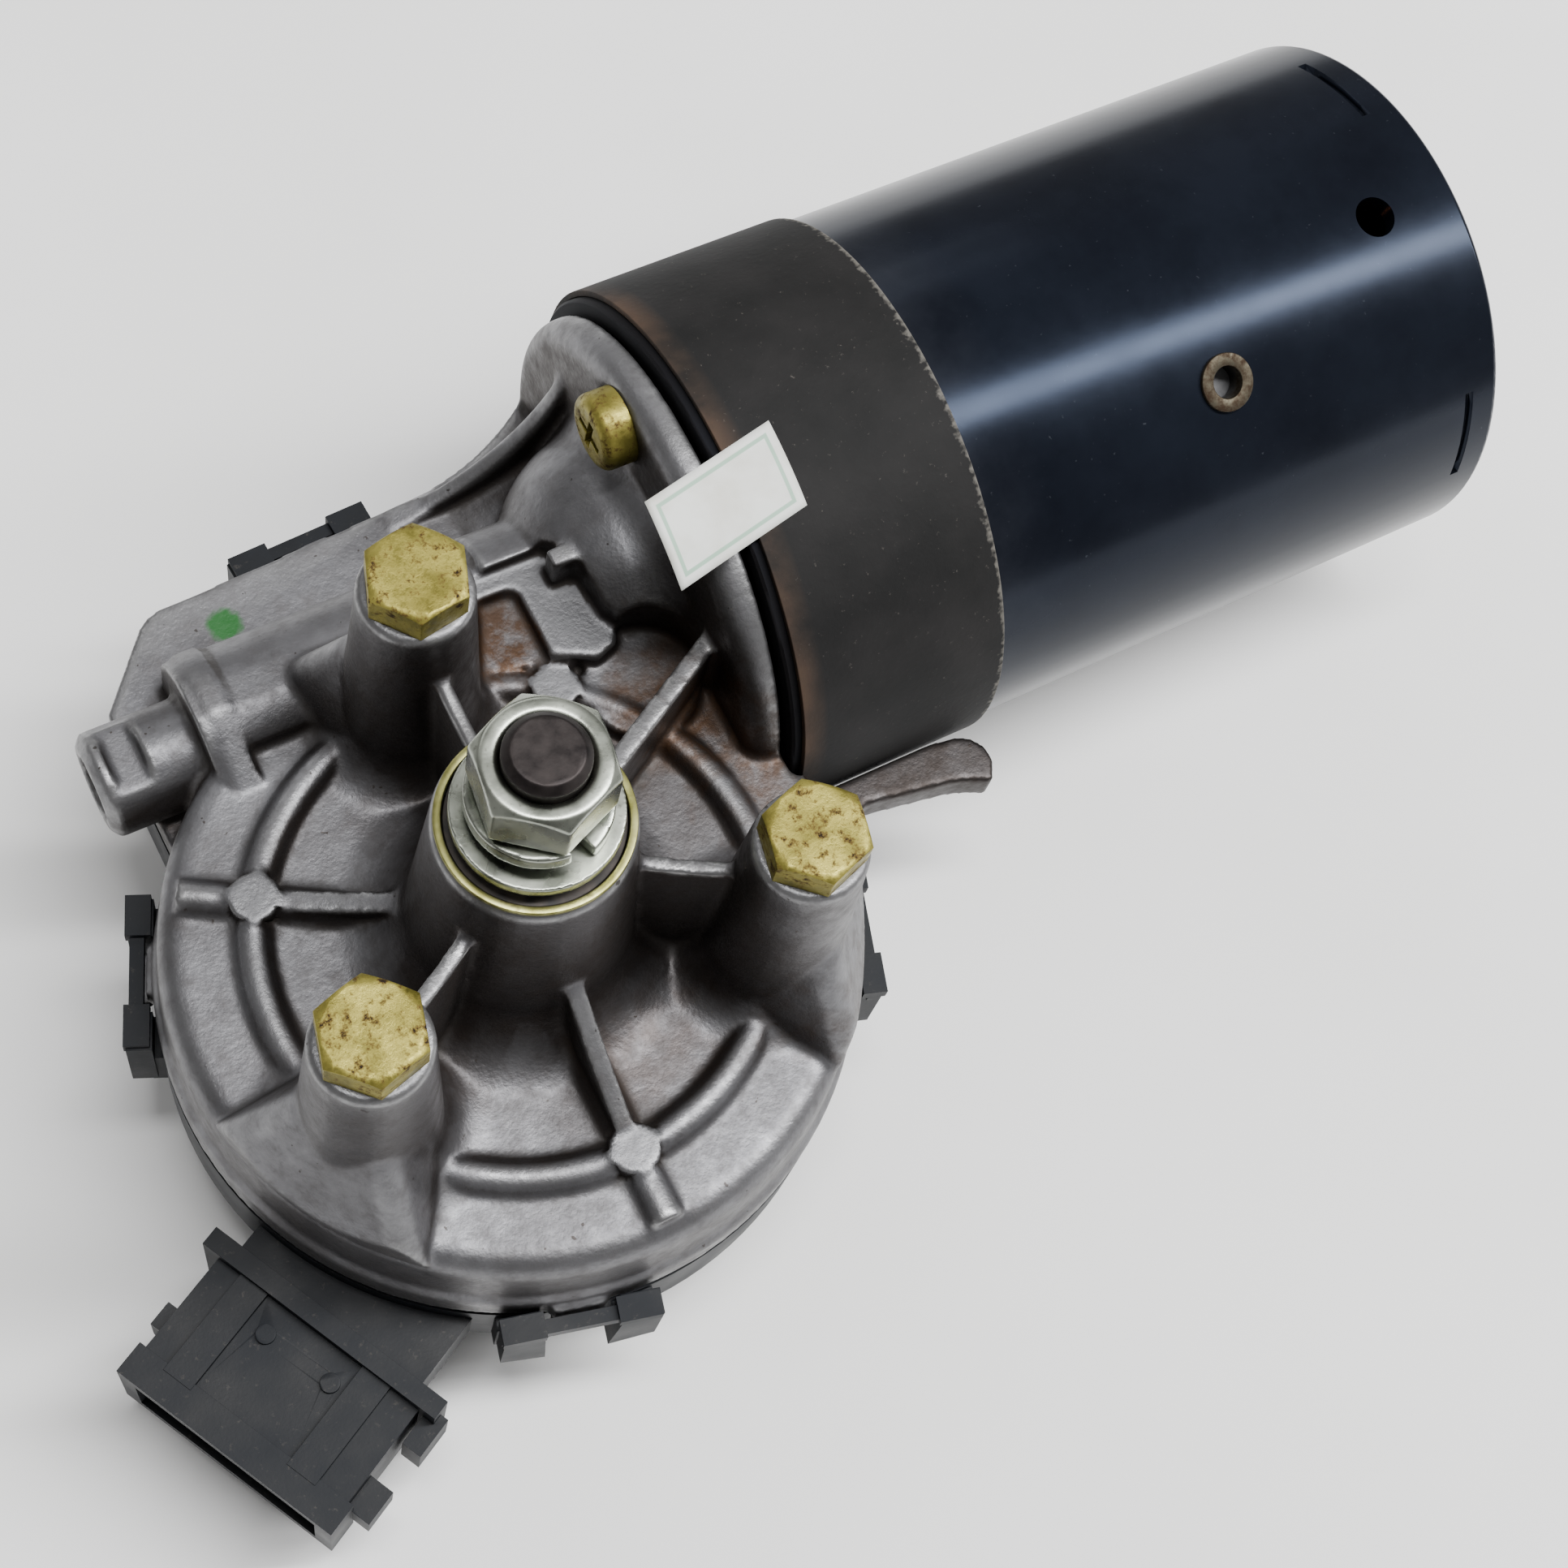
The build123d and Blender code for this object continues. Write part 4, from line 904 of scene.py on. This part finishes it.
def shelter_of(mesh, points, normals):
    """Share of the sky over each point that the piece itself covers."""
    tree = BVHTree.FromPolygons([v.co for v in mesh.vertices], [p.vertices for p in mesh.polygons])
    height = 1 - (np.arange(RAY_COUNT) + 0.5) * 2 / RAY_COUNT
    turn = np.arange(RAY_COUNT) * GOLDEN_ANGLE
    ring = np.sqrt(1 - height ** 2)
    rays = np.stack([ring * np.cos(turn), ring * np.sin(turn), height], axis=1)
    facing = normals @ rays.T
    covered = np.zeros(len(points))
    directions = [Vector(ray) for ray in rays]
    for index, (point, normal) in enumerate(zip(points, normals)):
        start = Vector(point + normal * RAY_LIFT * MM)
        for ray in np.flatnonzero(facing[index] > GRAZING):
            if tree.ray_cast(start, directions[ray], RAY_REACH * MM)[0] is not None:
                covered[index] += facing[index, ray]
    return covered / np.where(facing > GRAZING, facing, 0).sum(1)


def store(mesh, name, values):
    attribute = mesh.attributes.new(name, "FLOAT", "POINT")
    attribute.data.foreach_set("value", values.astype(np.float32))


hollow, points, normals = hollowness(casting)
painted_shade = shelter_of(casting, points, normals)
x, y, z = (points / MM).T
upward = normals[:, 2]

# Machined faces look straight up. Limits in millimetres, from the frame's axes.
LEVEL = 0.9
POST_TOP = 0
PLATEAU_TOP = -28
PLATEAU_X = (8, 26)
PLATEAU_Y = 20
level = upward > LEVEL
post_tops = level & (z > POST_TOP - 0.8)
near_pad = np.zeros(len(points), bool)
for pad_x, pad_y in pad_places:
    near_pad |= np.hypot(x - pad_x, y - pad_y) < PAD_RADIUS + 0.25
pads = level & near_pad & (np.abs(z - PAD_TOP) < 0.3)
plateau = level & (np.abs(z - PLATEAU_TOP) < 0.25) & (x > PLATEAU_X[0]) & (x < PLATEAU_X[1]) & (y > PLATEAU_Y)

# Painted shade: side walls get more, as the light from above reaches them less, and the tongue under the
# motor, which lies in the motor's shadow, gets it all over, also where its form is thin.
TONGUE_X, TONGUE_Y, TONGUE_Z = 36, 3, -32
WALL_SHADE = 0.6
TONGUE_SHADE = 0.7
under_motor = (x > TONGUE_X) & (y < TONGUE_Y) & (z < TONGUE_Z)
hollow[under_motor] = 0.5
store(casting, "hollow", hollow)
store(casting, "painted_shade", painted_shade + WALL_SHADE * (1 - np.clip(upward, 0, 1)) + TONGUE_SHADE * under_motor)
store(casting, "machined", (post_tops | pads | plateau).astype(float))
stand_in(casting, "cast_housing", ["gear_housing"], "cast")
print("shelter from", round(painted_shade.min(), 2), "to", round(painted_shade.max(), 2))
print("hollow from", round(hollow.min(), 2), "to", round(hollow.max(), 2))

# %% [markdown]
# ## The label
# The label is a stiff little sheet stuck to the band, and its end stands free over the
# gap to the flange. A grid is laid out, each point is carried to its place round the
# motor's axis, and a thin wall is given to it. Its UV map holds the flat sheet.

# %% Label sheet
# Where the sheet starts along the motor, its skew, its height over the band and its
# thickness, in millimetres, and its place round the motor in degrees.
LABEL_START = 44.3
LABEL_SKEW = 3.4
LABEL_GAP = 0.1
LABEL_THICKNESS = 0.12
LABEL_ANGLE = 107.3
# The free end curls up a little from this share of the length on.
CURL_START = 0.4
CURL = 0.5


def label_point(u, v):
    """Place of a point of the sheet: u along the motor, v round it, both from 0 to 1."""
    radius = BAND_RADIUS + LABEL_GAP
    across = (v - 0.5) * LABEL_SIZE[1] + (u - 0.5) * LABEL_SKEW
    angle = radians(LABEL_ANGLE) + asin(across / radius)
    radius += CURL * max(0, u - CURL_START) ** 2
    along = LABEL_START - LABEL_SIZE[0] * u
    return MOTOR_AXIS + Vector((along, radius * cos(angle), radius * sin(angle))) * MM


work = bmesh.new()
bmesh.ops.create_grid(work, x_segments=24, y_segments=16, size=0.5)
layer = work.loops.layers.uv.new("sheet")
for vertex in work.verts:
    vertex.co = vertex.co + Vector((0.5, 0.5, 0))
for face in work.faces:
    for loop in face.loops:
        loop[layer].uv = loop.vert.co.xy
for vertex in work.verts:
    vertex.co = label_point(vertex.co.x, vertex.co.y)
bmesh.ops.recalc_face_normals(work, faces=work.faces)
mesh = bpy.data.meshes.new("label_sheet")
work.to_mesh(mesh)
work.free()
mesh.shade_smooth()
label = stand_in(mesh, "label_sheet", ["paper_label"], "paper")
wall = label.modifiers.new("wall", "SOLIDIFY")
wall.thickness = LABEL_THICKNESS * MM
wall.offset = 0
apply_modifiers(label)
print("label faces", len(label.data.polygons))

# %% [markdown]
# ## Table and light
# The floor is a plain pale sheet just below the part's lowest point. A long white lamp
# overhead runs along the motor and draws the narrow highlight on the enamel. A wide,
# weak one behind softens what it leaves dark, and a pale world fills in the rest.

# %% Floor
# Half the floor's width and the gap under the part, in metres.
FLOOR_REACH = 1.5
FLOOR_GAP = 0.0002
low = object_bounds()[0][2]
work = bmesh.new()
bmesh.ops.create_grid(work, x_segments=2, y_segments=2, size=FLOOR_REACH)
bmesh.ops.translate(work, verts=work.verts, vec=(0.05, 0, low - FLOOR_GAP))
mesh = bpy.data.meshes.new("floor")
work.to_mesh(mesh)
work.free()
floor = bpy.data.objects.new("floor", mesh)
bpy.context.scene.collection.objects.link(floor)
floor_paint, tree, shader, place = new_finish("pale_table_paint", 0.0, 0.8, IOR=1.45)
haze = stretch(tree, grain(tree, place, 60, 3), 0.3, 0.7)
feed(tree, shader, Base_Color=blend(tree, haze, "#f3f3f2", "#fafafa"))
floor.data.materials.append(floor_paint)
print("floor height in mm:", round(low / MM, 2))


# %% Lamps
# Both lamps look at the middle of the part. Places and sizes in metres, power in watts.
LAMP_TARGET = Vector((0.045, 0.02, -0.03))
WORLD_STRENGTH = 0.35


def lamp(name, place, size, power):
    """White rectangular lamp at a place, turned to the part."""
    data = bpy.data.lights.new(name, "AREA")
    data.shape = "RECTANGLE"
    data.size, data.size_y = size
    data.energy = power
    holder = bpy.data.objects.new(name, data)
    bpy.context.scene.collection.objects.link(holder)
    holder.location = place
    holder.rotation_euler = (LAMP_TARGET - Vector(place)).to_track_quat("-Z", "Y").to_euler()


lamp("ceiling_strip", place=(0.45, -0.15, 0.95), size=(0.13, 1.5), power=29)
lamp("back_tent", place=(0.1, 1.0, 0.7), size=(1.0, 0.4), power=2.5)
world = bpy.data.worlds.new("tent")
bpy.context.scene.world = world
world.use_nodes = True
sky = world.node_tree.nodes["Background"]
sky.inputs["Color"].default_value = linear("#efeeed")
sky.inputs["Strength"].default_value = WORLD_STRENGTH
